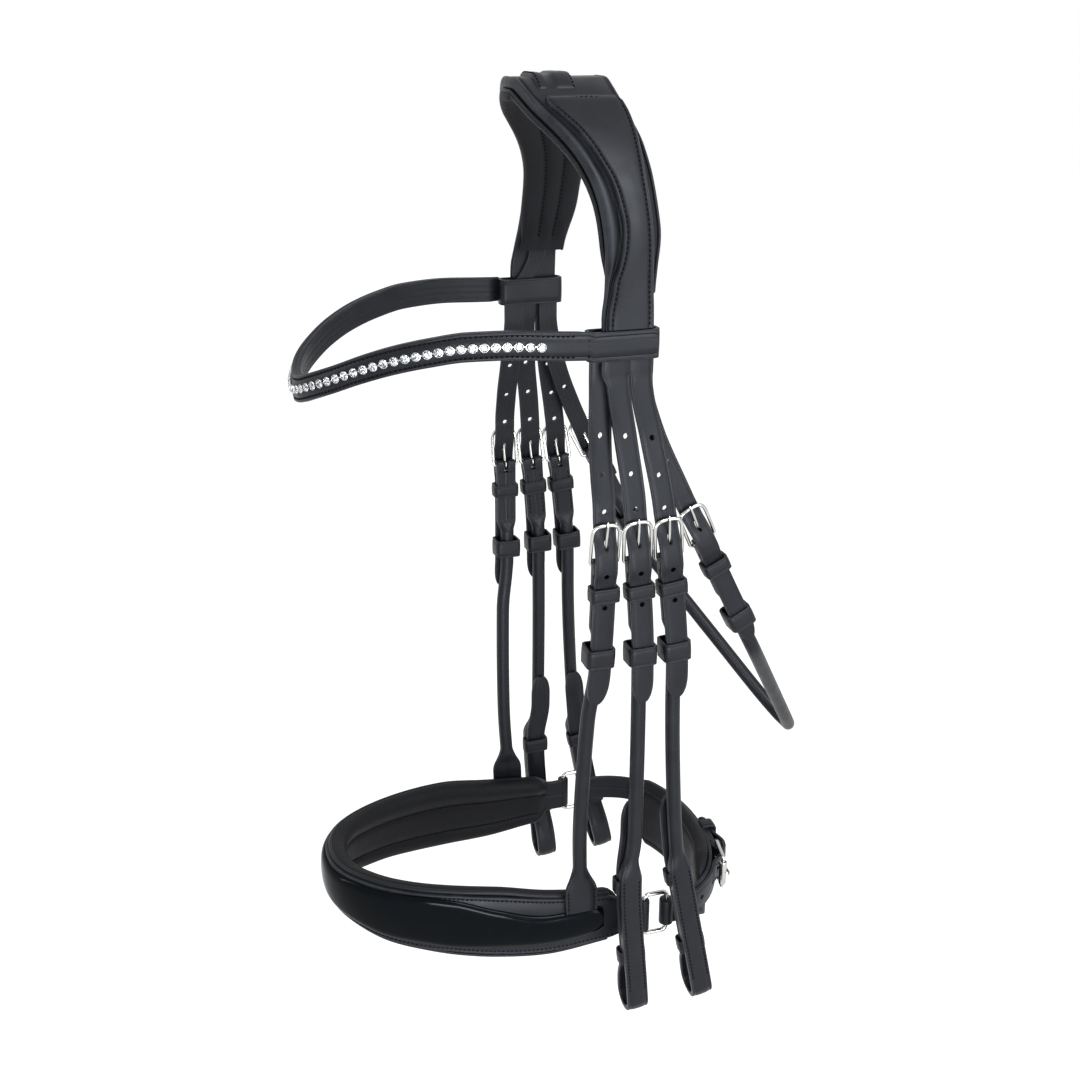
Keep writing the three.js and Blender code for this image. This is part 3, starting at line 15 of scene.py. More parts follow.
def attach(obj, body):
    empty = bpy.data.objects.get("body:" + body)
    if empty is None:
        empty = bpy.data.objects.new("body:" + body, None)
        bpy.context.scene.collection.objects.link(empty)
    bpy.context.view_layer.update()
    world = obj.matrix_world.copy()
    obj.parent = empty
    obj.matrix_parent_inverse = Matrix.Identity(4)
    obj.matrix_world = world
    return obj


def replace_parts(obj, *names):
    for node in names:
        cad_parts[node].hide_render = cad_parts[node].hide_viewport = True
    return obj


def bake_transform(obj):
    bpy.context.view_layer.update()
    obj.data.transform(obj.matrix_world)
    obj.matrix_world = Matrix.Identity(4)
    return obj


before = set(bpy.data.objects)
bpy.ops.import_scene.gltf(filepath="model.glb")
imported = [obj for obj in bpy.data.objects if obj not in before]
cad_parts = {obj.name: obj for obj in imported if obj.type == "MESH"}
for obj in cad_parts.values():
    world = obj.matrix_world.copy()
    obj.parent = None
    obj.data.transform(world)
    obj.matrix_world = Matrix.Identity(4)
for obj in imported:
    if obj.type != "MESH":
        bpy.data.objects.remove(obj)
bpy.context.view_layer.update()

# %% [markdown]
# ## Sizes
# A strap maker thinks in millimetres, so every size below is in millimetres and one factor turns them into the
# metres of the scene. Tables give how a strap runs down the side of the head: its depth below the poll, then how
# far it lies behind the poll and how far out from the middle.

# %% Sizes of the bridle
MM = 0.001
# Half widths between the browband's loops and between the bit loops
BROW_HALF, BIT_HALF = 81.5, 95.3
# Drops at which the straps bend, and drops of the buckles' heel bars
BEND, CHEEK_BEND = 139.5, 140.2
HEEL, THROAT_HEEL = 231.0, 226.0
ROUTES = {
    "hanger": [[134, -3], [BEND, -3.2], [185, -5.4], [HEEL, -5.2], [296, -6.4], [330, -10.2], [401, -11.9],
               [438, -10.6], [462, -9.8]],
    "front": [[134, 5], [BEND, 5.2], [165, 7.6], [197, 11.4], [HEEL, 13.5], [287, 17], [340, 17.4], [405, 17],
              [432, 14], [510, 19.5], [540, 22]],
    "rear": [[134, 18], [BEND, 18.2], [165, 22], [198, 27.8], [HEEL, 31.8], [297, 37.8], [324, 38.2], [383, 40.8],
             [425, 44.4], [440, 47], [520, 62.8], [540, 66.4]],
    "throat": [[134, 18.6], [BEND, 19.4], [165, 26.4], [195, 39], [226, 54], [269, 75.6], [289, 86], [300, 92]],
}
CHEEK_SPREAD = [[134, 80], [BEND, 81], [164, 86.82], [185, 89.98], [203, 92.04], [HEEL, 92.64], [290, 93.42],
                [425, 94.6], [528, BIT_HALF], [540, BIT_HALF]]
SPREADS = {
    "hanger": [[134, 76.2], [BEND, 77], [164, 81.42], [185, 87.18], [203, 91.24], [HEEL, 91.44], [290, 89.24],
               [313, 87.54], [340, 85.44], [401, 80.62], [440, 78], [462, 77]],
    "front": CHEEK_SPREAD,
    "rear": CHEEK_SPREAD,
    "throat": [[134, 76.2], [BEND, 76.8], [165, 80.56], [183, 84.22], [200, 86.58], [226, 87.36], [269, 86.56],
               [289, 85.56], [300, 84.36]],
}
STRAP_HALF, THROAT_HALF, ROLL, ROLL_DEEP = 6.25, 5.75, 4.25, 3.0
WIRE, CHAPE, LEATHER, GAP = 1.05, 3.7, 2.2, 0.3

# %% [markdown]
# ## Curves through tables
# A strap bends smoothly between the places that were measured. A cubic through the rows does that, as long as its
# slopes never overshoot, or the strap would wobble. The same curve shapes the solids of the part.

# %% A smooth curve through a table, and small vector helpers
def smooth(table, x, column=1):
    """Cubic through rows [x, value, ...]: each inner slope is the harmonic mean of its two neighbours, or 0."""
    rows = np.array([[row[0], row[column]] for row in table], float)
    xs, ys = rows.T
    slope = np.diff(ys) / np.diff(xs)
    before, after = slope[:-1], slope[1:]
    same = before * after > 0
    tangent = np.concatenate([slope[:1], np.zeros(len(before)), slope[-1:]])
    tangent[1:-1][same] = 2 * before[same] * after[same] / (before[same] + after[same])
    x = np.clip(np.asarray(x, float), xs[0], xs[-1])
    i = np.clip(np.searchsorted(xs, x, side="right") - 1, 0, len(xs) - 2)
    span = xs[i + 1] - xs[i]
    u = (x - xs[i]) / span
    c, d, rise = tangent[i] * span, tangent[i + 1] * span, ys[i + 1] - ys[i]
    return ys[i] + u * (c + u * (3 * rise - 2 * c - d + u * (c + d - 2 * rise)))


def unit(v):
    """v / |v| along the last axis."""
    return v / np.maximum(np.linalg.norm(v, axis=-1, keepdims=True), 1e-12)


def ease(x, low, high):
    """0 below low, 1 above high, and 3u^2 - 2u^3 between."""
    u = np.clip((np.asarray(x, float) - low) / (high - low), 0, 1)
    return u * u * (3 - 2 * u)


def quarter_round(x, least=0.0):
    """Quarter circle sqrt(1 - (1 - x)^2): 0 at x = 0 and 1 from x = 1 on, never under the root of least."""
    return np.sqrt(np.clip(1 - (1 - np.clip(x, 0, 1)) ** 2, least, 1))


def distances(line):
    """Distance along a line of points up to each point: the running sum of the steps' lengths."""
    return np.concatenate([[0], np.cumsum(np.linalg.norm(np.diff(line, axis=0), axis=1))])


# %% Frames down a strap
def route(name):
    """Frames down a strap on the near side: origin o, t down the strap, w rearwards, n outwards."""
    def point(drop):
        drop = np.asarray(drop, float)
        return np.stack([smooth(SPREADS[name], drop), smooth(ROUTES[name], drop), -drop], -1)

    def where(drop):
        step = 0.5 * STRAP_HALF
        t = unit(point(np.add(drop, step)) - point(np.subtract(drop, step)))
        w = unit(np.cross([1.0, 0, 0], t))
        return point(drop), t, w, np.cross(t, w)
    return where


def heel_frame(where, drop):
    """Straight axes at one place of a strap, as functions of up, across and out."""
    o, t, w, n = (v.reshape(3) for v in where(np.array(drop)))
    return o, -t, w, n


def pace_at(where, drop):
    """Length of strap for each millimetre of drop."""
    a, b = where(np.array([drop - 3.0, drop + 3.0]))[0]
    return np.linalg.norm(b - a) / 6


def put(place, up, across, out):
    """Point at up, across and out on straight axes (o, s, w, n), for numbers or arrays."""
    o, s, w, n = place
    up, across, out = np.broadcast_arrays(*(np.asarray(v, float)[..., None] for v in (up, across, out)))
    return o + up * s + across * w + out * n


# %% [markdown]
# ## From grids to a mesh
# A strap, a pad or a wire is a skin round a path: a profile of K points carried through S stations gives a grid of
# S by K points. Its columns close on themselves. At each end, a ladder of faces joins the profile's first half to
# its second, so no end stays open. A punched hole leaves out a block of cells on both faces, and a short wall
# joins the two rims. Whole arrays go into the mesh at once.

# %% The shape builder
RIM = [(-2, j) for j in range(-2, 3)] + [(i, 2) for i in range(-1, 3)] + [(2, j) for j in range(1, -3, -1)]
RIM += [(i, -2) for i in range(1, -2, -1)]


def volume(points, faces):
    """Sum of p0.(p1 x p2 + p2 x p3) over four-cornered faces: positive where a skin faces outwards."""
    p = points[faces]
    return np.einsum("ij,ij->", p[:, 0], np.cross(p[:, 1], p[:, 2]) + np.cross(p[:, 2], p[:, 3]))


class Shape:
    """Grids of points in millimetres, each with a finish, that become one mesh."""

    def __init__(self):
        self.points, self.faces, self.finish, self.worn, self.count = [], [], [], [], 0

    def take(self, points, faces, finish, worn):
        """Adds points (N, 3) and faces (F, 4), turned so that the skin's volume is positive."""
        if volume(points, faces) < 0:
            faces = faces[:, ::-1]
        self.points.append(points)
        self.faces.append(faces + self.count)
        self.finish.append(np.full(len(faces), finish))
        self.worn.append(worn)
        self.count += len(points)

    def grid(self, points, finish=0, ring=False, holes=(), worn=0.0):
        """Skin through points (S, K, 3), closed over the columns; ring closes the rows too, else both ends close."""
        rows, columns = points.shape[:2]
        index = np.arange(rows * columns).reshape(rows, columns)
        a, b = (index, np.roll(index, -1, 0)) if ring else (index[:-1], index[1:])
        quads = np.stack([a, np.roll(a, -1, 1), np.roll(b, -1, 1), b], -1)
        keep = np.ones(quads.shape[:2], bool)
        parts = []
        for row, top, bottom in holes:
            keep[row:row + 4, top[0]:top[0] + 4] = False
            keep[row:row + 4, bottom[0]:bottom[0] + 4] = False
            upper = np.array([index[row + 2 + i, top[2 + j]] for i, j in RIM])
            lower = np.array([index[row + 2 + i, bottom[2 - j]] for i, j in RIM])
            parts.append(np.stack([upper, np.roll(upper, -1), np.roll(lower, -1), lower], -1))
        parts.append(quads[keep])
        if not ring:
            k = np.arange(columns // 2 - 1)
            for end in (0, rows - 1):
                r = index[end]
                cap = np.stack([r[k], r[k + 1], r[columns - 2 - k], r[columns - 1 - k]], -1)
                parts.append(cap if end else cap[:, ::-1])
        worn = np.broadcast_to(np.asarray(worn, float), (rows, columns)).reshape(-1)
        if holes:
            flat = points.reshape(-1, 3)
            for k, wall in enumerate(parts[:len(holes)]):
                face = flat[wall]
                out = np.cross(face[:, 1] - face[:, 0], face[:, 3] - face[:, 0])
                if np.einsum("ij,ij->", out, face.mean(1) - face.mean((0, 1))) > 0:
                    parts[k] = wall[:, ::-1]
            if volume(flat, np.concatenate(parts[len(holes):])) < 0:
                parts[:len(holes)] = [wall[:, ::-1] for wall in parts[:len(holes)]]
        self.take(points.reshape(-1, 3), np.concatenate(parts), finish, worn)

    def beads(self, points, finish):
        """Many small grids at once, (J, R, K, 3): the same closed skin for each, turned like the first one."""
        number, rows, columns = points.shape[:3]
        one = Shape()
        one.grid(points[0], finish)
        faces = one.faces[0]
        step = (np.arange(number) * rows * columns)[:, None, None]
        self.points.append(points.reshape(-1, 3))
        self.faces.append((faces[None] + step).reshape(-1, 4) + self.count)
        self.finish.append(np.full(number * len(faces), finish))
        self.worn.append(np.zeros(number * rows * columns))
        self.count += number * rows * columns

    def mirrored(self):
        """The same shape on the other side of the bridle: x turns to -x, and the faces are turned round."""
        other = Shape()
        other.count = self.count
        other.points = [p * [-1, 1, 1] for p in self.points]
        other.faces = [f[:, ::-1] for f in self.faces]
        other.finish, other.worn = list(self.finish), list(self.worn)
        return other

    def add(self, other):
        """Takes over another shape's grids."""
        self.points += other.points
        self.faces += [f + self.count for f in other.faces]
        self.finish += other.finish
        self.worn += other.worn
        self.count += other.count

    def make(self, name, finishes, sharp=38):
        """A mesh object in metres at the origin, with smooth faces and edges sharper than an angle kept crisp."""
        points = np.concatenate(self.points)
        faces = np.concatenate(self.faces)
        used = np.unique(faces)
        renumber = np.zeros(len(points), np.int64)
        renumber[used] = np.arange(len(used))
        points, faces = points[used] * MM, renumber[faces]
        mesh = bpy.data.meshes.new(name)
        mesh.vertices.add(len(points))
        mesh.vertices.foreach_set("co", points.astype(np.float32).ravel())
        mesh.loops.add(faces.size)
        mesh.loops.foreach_set("vertex_index", faces.astype(np.int32).ravel())
        mesh.polygons.add(len(faces))
        mesh.polygons.foreach_set("loop_start", np.arange(0, faces.size, 4, dtype=np.int32))
        mesh.polygons.foreach_set("material_index", np.concatenate(self.finish).astype(np.int32))
        worn = mesh.attributes.new("worn", "FLOAT", "POINT")
        worn.data.foreach_set("value", np.concatenate(self.worn)[used].astype(np.float32))
        mesh.update(calc_edges=True)
        mesh.validate()
        mesh.shade_smooth()
        mesh.set_sharp_from_angle(angle=math.radians(sharp))
        for finish in finishes:
            mesh.materials.append(finish)
        piece = bpy.data.objects.new(name, mesh)
        bpy.context.scene.collection.objects.link(piece)
        size = " x ".join(f"{v / MM:.0f}" for v in np.ptp(points, axis=0))
        print(f"{name}: {len(faces)} faces, {size} mm")
        return piece


# %% [markdown]
# ## Profiles
# A strap isn't a sharp box. Its edges are bevelled and burnished, a hot iron presses a crease line along each
# edge, and the face has a slight camber. A profile row holds: which edge the point belongs to, its distance from
# that edge, which face it belongs to, its height above that face, and how much the edge there is rubbed.

# %% The outline of a strap
def band(corner=0.55, crease=1.35, deep=0.12, wide=0.3, camber=0.18, layers=0.0, hole=1.5, back=0.0):
    """Outline rows (edge, offset, layer, lift, worn).

    across = edge * half + offset, and out = low + layer * thickness + lift.
    """
    turn = np.radians([0, 22.5, 45, 67.5, 90])
    right = [(1, -layers, 0.51, 0, 0.4), (1, 0, 0.6, 0, 0.7)]
    right += [(1, -corner * (1 - math.cos(a)), 1, -corner * (1 - math.sin(a)), 1 - 0.15 * k)
              for k, a in enumerate(turn)]
    right += [(1, -corner - 0.12, 1, 0, 0.3)]
    for share, fall in ((-1, 0), (-0.5, 0.7), (0, 1), (0.5, 0.7), (1, 0)):
        right.append((1, -crease - wide * share, 1, -deep * fall, 0.0))
    right += [(0.42, 0, 1, 0.7 * camber, 0), (0, hole, 1, camber, 0), (0, hole / 2, 1, camber, 0)]
    middle = [(0, 0, 1, camber, 0)]
    left = [(-e, -o, layer, lift, worn) for e, o, layer, lift, worn in reversed(right)]
    top = np.array(right + middle + left, float)
    under = top[::-1].copy()
    under[:, 2] = 1 - under[:, 2]
    flat = np.abs(under[:, 3]) * (np.abs(under[:, 0]) < 1)
    under[:, 3] = np.where(np.abs(under[:, 1]) < corner, -under[:, 3], -back * (flat > 0))
    rows = np.concatenate([top, under])
    centre, bottom = len(right), len(top) + len(right)
    return rows, np.arange(centre - 2, centre + 3), np.arange(bottom - 2, bottom + 3)


FULL_RELIEF = 1.6  # leather thinner than this is creased and cambered less
STRAP_BAND = band()
SEWN_BAND = band(corner=0.75, crease=1.7, deep=0.3, wide=0.55, camber=0.3)
KEEPER_BAND = band(corner=0.4, crease=1.1, deep=0.14, wide=0.3, camber=0.12, hole=1.0)


def outline(profile, half, low, high, shift=0.0, soft=(1.0, 1.0), size=STRAP_HALF):
    """Across and out of every profile point at every station, (S, K); offsets shrink where the strap narrows."""
    rows = profile[0]
    half, low, high, shift = (np.asarray(v, float).reshape(-1, 1) for v in (half, low, high, shift))
    shrink = np.clip(half / size, 0.02, 1)
    plus, minus = (np.asarray(v, float).reshape(-1, 1) for v in soft)
    side = np.where(rows[:, 0] * rows[:, 1] <= 0, np.where(rows[:, 0] > 0, plus, minus), 1.0)
    side = np.where(rows[:, 0] == 0, 1.0, side)
    across = shift + rows[:, 0] * half + rows[:, 1] * shrink * side
    thick = np.minimum(1.0, (high - low) / FULL_RELIEF)
    out = low + rows[:, 2] * (high - low) + rows[:, 3] * shrink * side * thick
    return across, out


def skin(frames, across, out):
    """Points o + across * w + out * n for frames (S, 3) and profile arrays (S, K)."""
    o, _, w, n = frames
    return o[:, None] + across[..., None] * w[:, None] + out[..., None] * n[:, None]


def two_faces(frames, across, top, low):
    """Skin of a sheet: its top surface at heights top, and its underside at heights low on the way back."""
    return skin(frames, np.concatenate([across, across[:, ::-1]], 1), np.concatenate([top, low[:, ::-1]], 1))


# %% [markdown]
# ## Straps with punched holes
# Strap holes are punched round and go right through, so light shows in them. The grid gets five rows at each
# hole, and the rim of a four by four block of cells moves onto a circle. The strap ends in an English point.

# %% A flat strap
POINT = 14.0


def point_rows(end):
    """Stations along a strap's point, closer together towards the tip at end."""
    return end - POINT + POINT * np.sin(np.radians(np.linspace(0, 88, 12)))


def point_share(along, end):
    """An English point's half width as a share of the strap's: (1 - u^2.2)^0.425 at share u of the point."""
    u = np.clip((along - (end - POINT)) / (POINT + 0.2), 0, 1)
    return np.maximum(np.sqrt(np.clip(1 - u ** 2.2, 0, 1)) ** 0.85, 0.03)


def strap(shape, where, drops, half, low, high, shift=None, profile=STRAP_BAND, holes=(), soft=None):
    """Skin along a route: half, low, high and shift are numbers or functions of the drop.

    holes are rows (drop, across, along) with a hole's half width and half length.
    """
    steps = np.array([-1, -0.5, 0, 0.5, 1])
    drops = np.asarray(drops, float)
    for drop, _, along in holes:
        drops = drops[np.abs(drops - drop) > along + 0.35]
    drops = np.sort(np.concatenate([drops] + [drop + along * steps for drop, _, along in holes]))
    rows, top, bottom = profile
    level = lambda f: np.broadcast_to(f(drops) if callable(f) else f, drops.shape)
    softness = (1.0, 1.0) if soft is None else [level(s) for s in soft]
    across, out = outline(profile, level(half), level(low), level(high), level(shift or 0.0), softness)
    grid_drop = np.repeat(drops[:, None], across.shape[1], 1)
    blocks = []
    for drop, wide, along in holes:
        row = int(np.argmin(np.abs(drops - (drop - along))))
        blocks.append((row, top, bottom))
        centre = level(shift or 0.0)[row + 2]
        for i, j in RIM:
            length = math.hypot(i, j)
            for columns, sign in ((top, 1), (bottom, -1)):
                column = columns[2 + sign * j]
                grid_drop[row + 2 + i, column] = drop + along * i / length
                across[row + 2 + i, column] = centre - wide * j / length
    o, _, w, n = where(grid_drop)
    points = o + across[..., None] * w + out[..., None] * n
    shape.grid(points, holes=blocks, worn=rows[:, 4])


# %% [markdown]
# ## Stitching
# Saddlers sew with waxed thread, ten stitches to the inch: each stitch stands a little slanted and its ends dive
# into the needle holes. One bead of thread has six rings of six points. All beads of a seam are one array.

# %% A seam of stitches
STITCH = {"pitch": 2.6, "long": 1.75, "thick": 0.42, "slant": 0.12}
THREAD_FINISH = 1
# A seam's distance from the strap's edge, and how far its line lies under the strap's face
EDGE_SEAM, SEAM_DEEP = 1.7, 0.22


def seam(shape, points, normals):
    """Beads along a line: radius r(1 - u^6)^(1/2) at share u of the half length, sunk by 1.3 r u^4 at the ends."""
    far = distances(points)
    number = int(far[-1] / STITCH["pitch"])
    if number < 1:
        return
    centre = (np.arange(number) + 0.5) * far[-1] / number
    pick = lambda values, at: np.stack([np.interp(at, far, values[:, k]) for k in range(3)], -1)
    c, n = pick(points, centre), unit(pick(normals, centre))
    t = unit(pick(points, centre + 0.6) - pick(points, centre - 0.6))
    n = unit(n - t * np.sum(t * n, -1, keepdims=True))
    b = np.cross(n, t)
    u = np.array([-1, -0.82, -0.4, 0.4, 0.82, 1])
    r = STITCH["thick"] * np.sqrt(np.maximum(1 - u ** 6, 0.02))
    angle = np.radians([30, 90, 150, 210, 270, 330])
    along = u * STITCH["long"] / 2
    rings = (r[:, None] * np.cos(angle))[None, ..., None] * b[:, None, None]
    rings = rings + (r[:, None] * np.sin(angle))[None, ..., None] * n[:, None, None]
    lift = (0.35 * STITCH["thick"] - 1.3 * STITCH["thick"] * u ** 4)[None, :, None, None] * n[:, None, None]
    run = along[None, :, None, None] * (t + STITCH["slant"] * b)[:, None, None]
    shape.beads(c[:, None, None] + rings + lift + run, THREAD_FINISH)


def seam_on(shape, where, drops, across, out):
    """A seam along a route at across and out, each a number or an array over drops."""
    drops = np.asarray(drops, float)
    o, _, w, n = where(drops)
    across, out = (np.broadcast_to(v, drops.shape)[:, None] for v in (across, out))
    seam(shape, o + across * w + out * n, n)


# %% [markdown]
# ## Wires, bars and cords
# Buckles, rings and tongues are bent from steel wire, and piping is a cord in leather. Each is a round skin
# carried along a line. A reference direction keeps the rings from twisting, and open ends close to a dome.

# %% A round bar along a line
def bar(shape, line, radius, up, ring=False, sides=16, flat=1.0):
    """Rings of radius r round a line: p + r cos(a) b + flat r sin(a) n, with b and n square to the line."""
    line = np.asarray(line, float)
    radius = np.broadcast_to(np.asarray(radius, float), len(line)).copy()
    up = np.broadcast_to(np.asarray(up, float), line.shape)
    if not ring:
        ends = []
        for tip, inner, r in ((line[0], line[1], radius[0]), (line[-1], line[-2], radius[-1])):
            out = unit(tip - inner)
            ends.append([(tip + out * r * math.sin(a), r * math.cos(a)) for a in np.radians([35, 62, 84])])
        first, last = ends[0][::-1], ends[1]
        line = np.concatenate([[p for p, _ in first], line, [p for p, _ in last]])
        radius = np.concatenate([[r for _, r in first], radius, [r for _, r in last]])
        up = np.concatenate([np.repeat(up[:1], 3, 0), up, np.repeat(up[-1:], 3, 0)])
        t = unit(np.gradient(line, axis=0))
    else:
        t = unit(np.roll(line, -1, 0) - np.roll(line, 1, 0))
    b = unit(np.cross(t, up))
    n = np.cross(b, t)
    angle = (np.arange(sides) + 0.5) * 2 * math.pi / sides
    points = line[:, None] + (radius[:, None] * np.cos(angle))[..., None] * b[:, None]
    points = points + (flat * radius[:, None] * np.sin(angle))[..., None] * n[:, None]
    shape.grid(points, ring=ring)


def even(line, count, ring=False):
    """The same line with count points at equal distances along it."""
    line = np.asarray(line, float)
    if ring:
        line = np.concatenate([line, line[:1]])
    far = distances(line)
    at = np.linspace(0, far[-1], count, endpoint=not ring)
    return np.stack([np.interp(at, far, line[:, k]) for k in range(line.shape[1])], -1)


# %% [markdown]
# ## Finishes
# One function turns sRGB hex codes into linear colour, and one adds a node with its settings and links. Short
# ones on top of it give the nodes that every finish here needs, and each returns the socket with the result.

# %% Colour and node helpers
def linear(code):
    """Linear RGBA of an sRGB hex code: c / 12.92 below 0.04045, else ((c + 0.055) / 1.055) ^ 2.4."""
    c = np.array([int(code[i:i + 2], 16) / 255 for i in (1, 3, 5)])
    value = np.where(c <= 0.04045, c / 12.92, ((c + 0.055) / 1.055) ** 2.4)
    return (*value.tolist(), 1.0)


def add(tree, kind, links=None, **settings):
    """Adds a node: settings are its properties, and links hold a value or another node's socket for each input."""
    item = tree.nodes.new(kind)
    for key, value in settings.items():
        setattr(item, key, value)
    for key, value in (links or {}).items():
        socket = item.inputs[key]
        if isinstance(value, bpy.types.NodeSocket):
            tree.links.new(value, socket)
        else:
            socket.default_value = value
    return item


def ramp(tree, value, stops):
    """A grey ramp from stops (place, grey)."""
    item = add(tree, "ShaderNodeValToRGB", {"Fac": value})
    elements = item.color_ramp.elements
    while len(elements) < len(stops):
        elements.new(0.5)
    for element, (place, grey) in zip(elements, stops):
        element.position = place
        element.color = (grey, grey, grey, 1)
    return item.outputs["Color"]


def blank(name):
    """A new material without nodes, its node tree, and the Object coordinates that all patterns here read."""
    material = bpy.data.materials.new(name)
    material.use_nodes = True
    tree = material.node_tree
    tree.nodes.clear()
    where = add(tree, "ShaderNodeTexCoord").outputs["Object"]
    return material, tree, where


def noise(tree, where, wide_mm, detail, **more):
    """Noise whose patches are about wide_mm across."""
    links = {"Vector": where, "Scale": 1 / (wide_mm * MM), "Detail": detail, **more}
    return add(tree, "ShaderNodeTexNoise", links).outputs["Fac"]


def mix(tree, share, first, second):
    """Colour first * (1 - share) + second * share, from hex codes or sockets."""
    first, second = (linear(c) if isinstance(c, str) else c for c in (first, second))
    return add(tree, "ShaderNodeMix", {"Factor": share, "A": first, "B": second}, data_type="RGBA").outputs["Result"]


def maths(tree, operation, a, b):
    return add(tree, "ShaderNodeMath", {0: a, 1: b}, operation=operation).outputs[0]


def spread(tree, value, from_low, from_high, low, high):
    """Maps the range from_low to from_high of a value onto low to high."""
    return add(tree, "ShaderNodeMapRange", {"Value": value, "From Min": from_low, "From Max": from_high,
                                            "To Min": low, "To Max": high}).outputs["Result"]


def bumped(tree, height, strength, deep_mm, **more):
    """A normal tilted by a height pattern that is deep_mm deep."""
    links = {"Height": height, "Strength": strength, "Distance": deep_mm * MM, **more}
    return add(tree, "ShaderNodeBump", links).outputs["Normal"]


def finish_with(tree, shader):
    add(tree, "ShaderNodeOutputMaterial", {"Surface": shader.outputs[0]})


def principled(tree, colour, roughness, normal=None, **more):
    """Ends a material with a Principled surface; more holds other inputs, with _ for the spaces in their names."""
    links = {"Base Color": colour, "Roughness": roughness, **{key.replace("_", " "): more[key] for key in more}}
    if normal is not None:
        links["Normal"] = normal
    finish_with(tree, add(tree, "ShaderNodeBsdfPrincipled", links))


# %% [markdown]
# ### Bridle leather
# Vegetable tanned cowhide, dyed black right through, filled with grease and glazed. The eye sees a deep
# blue-black, a soft wide gloss, fine grain and paler rubbed edges. The real grain is about 0.4 mm wide, which is
# finer than a pixel here, so it is drawn at 0.9 mm. A cloudy pattern 12 mm wide varies the gloss. The lining is
# softer and duller leather, drawn with a 1.1 mm grain and with shallow folds about 5.5 mm wide.

# %% Leather finishes
CLOUD_MM, FOLD_MM = 12.0, 5.5


def leather(name, dark, light, gloss, grain_mm, grain_height, edge, specular, crease_height=0.0):
    material, tree, where = blank(name)
    cloud = noise(tree, where, CLOUD_MM, 3.0)
    worn = add(tree, "ShaderNodeAttribute", attribute_name="worn", attribute_type="GEOMETRY").outputs["Fac"]
    rubbed = maths(tree, "MULTIPLY", worn, ramp(tree, cloud, [(0.35, 0.1), (0.7, 0.55)]))
    colour = mix(tree, rubbed, mix(tree, cloud, dark, light), edge)
    grain = add(tree, "ShaderNodeTexVoronoi", {"Vector": where, "Scale": 1 / (grain_mm * MM)},
                feature="SMOOTH_F1").outputs["Distance"]
    height = maths(tree, "ADD", grain, noise(tree, where, 0.5 * grain_mm, 2.0))
    normal = bumped(tree, height, 0.6, grain_height)
    if crease_height:
        stretch = add(tree, "ShaderNodeMapping", {"Vector": where, "Scale": (1, 1, 0.35)}).outputs[0]
        fold = noise(tree, stretch, FOLD_MM, 4.0, Distortion=0.8)
        ridge = ramp(tree, fold, [(0.42, 1.0), (0.5, 0.0), (0.58, 1.0)])
        normal = bumped(tree, ridge, 0.5, crease_height, Normal=normal)
    principled(tree, colour, spread(tree, cloud, 0.3, 0.7, gloss - 0.05, gloss + 0.06), normal,
               Specular_IOR_Level=specular, IOR=1.5, Specular_Tint=linear("#e8edf6"))
    return material


BRIDLE_LEATHER = leather("glazed_bridle_leather", "#0b0c0f", "#131519", gloss=0.42, grain_mm=0.9,
                         grain_height=0.035, edge="#35383e", specular=0.21)
LINING_LEATHER = leather("soft_lining_leather", "#0b0b0d", "#141417", gloss=0.56, grain_mm=1.1,
                         grain_height=0.07, edge="#202125", specular=0.16, crease_height=0.09)
print("leathers", BRIDLE_LEATHER.name, LINING_LEATHER.name)

# %% [markdown]
# ### Patent leather
# Leather under a thick clear lacquer: nearly black, with a soft-edged, slightly blue reflection and a faint
# orange-peel waviness about 9 mm wide. A clear coat over a dull black body gives the eye both layers.

# %% Patent leather
WAVE_MM = 9.0


def patent_leather():
    material, tree, where = blank("lacquered_patent_leather")
    wave = noise(tree, where, WAVE_MM, 1.0)
    normal = bumped(tree, wave, 0.25, 0.25)
    principled(tree, mix(tree, wave, "#020304", "#04060a"), 0.16, normal, Specular_IOR_Level=0.02,
               Specular_Tint=linear("#a9d4e6"), Coat_Weight=0.22, Coat_Roughness=0.14, Coat_IOR=1.33,
               Coat_Tint=linear("#dff1f7"), Coat_Normal=normal)
    return material


PATENT = patent_leather()
print("lacquer", PATENT.name)

# %% [markdown]
# ### Waxed thread
# Black linen thread, twisted and waxed. Its colour is painted darker than the glazed leather, as painted shade
# of the needle holes, and it is duller, so a seam reads as a row of dark dashes. Its twist shows as slanting
# ridges 0.5 mm apart, drawn at 0.6 mm.

# %% Thread
TWIST_MM = 0.6


def waxed_thread():
    material, tree, where = blank("waxed_linen_thread")
    twist = add(tree, "ShaderNodeTexWave", {"Vector": where, "Scale": 1 / (TWIST_MM * MM) / (2 * math.pi),
                                            "Distortion": 1.0}, bands_direction="DIAGONAL").outputs["Fac"]
    # Painted shade: these greys are darker than the leather's and stand in for the shade in the needle holes; the
    # real thread is as black as the leather.
    principled(tree, mix(tree, twist, "#040405", "#0c0c0e"), 0.8, bumped(tree, twist, 0.5, 0.06),
               Specular_IOR_Level=0.08)
    return material


THREAD = waxed_thread()
print("thread", THREAD.name)

# %% [markdown]
# ### Polished stainless steel
# Bent wire, tumbled and buffed: a neutral mirror with very fine buffing marks and softer patches where fingers
# have been. Steel keeps the default IOR and gets its look from metallic reflection. The chain's cups are the same
# with a brighter silver tone. Its stones are clear glass over foil.

# %% Steel and silver
def polished_metal(name, dark, light, low, high):
    """A metal whose roughness runs from low to high in patches 4 mm wide, with buffing marks 0.35 mm wide."""
    material, tree, where = blank(name)
    patch = noise(tree, where, 4, 3.0)
    marks = noise(tree, where, 0.35, 2.0)
    principled(tree, mix(tree, patch, dark, light), spread(tree, patch, 0.35, 0.65, low, high),
               bumped(tree, marks, 0.15, 0.02), Metallic=1.0)
    return material


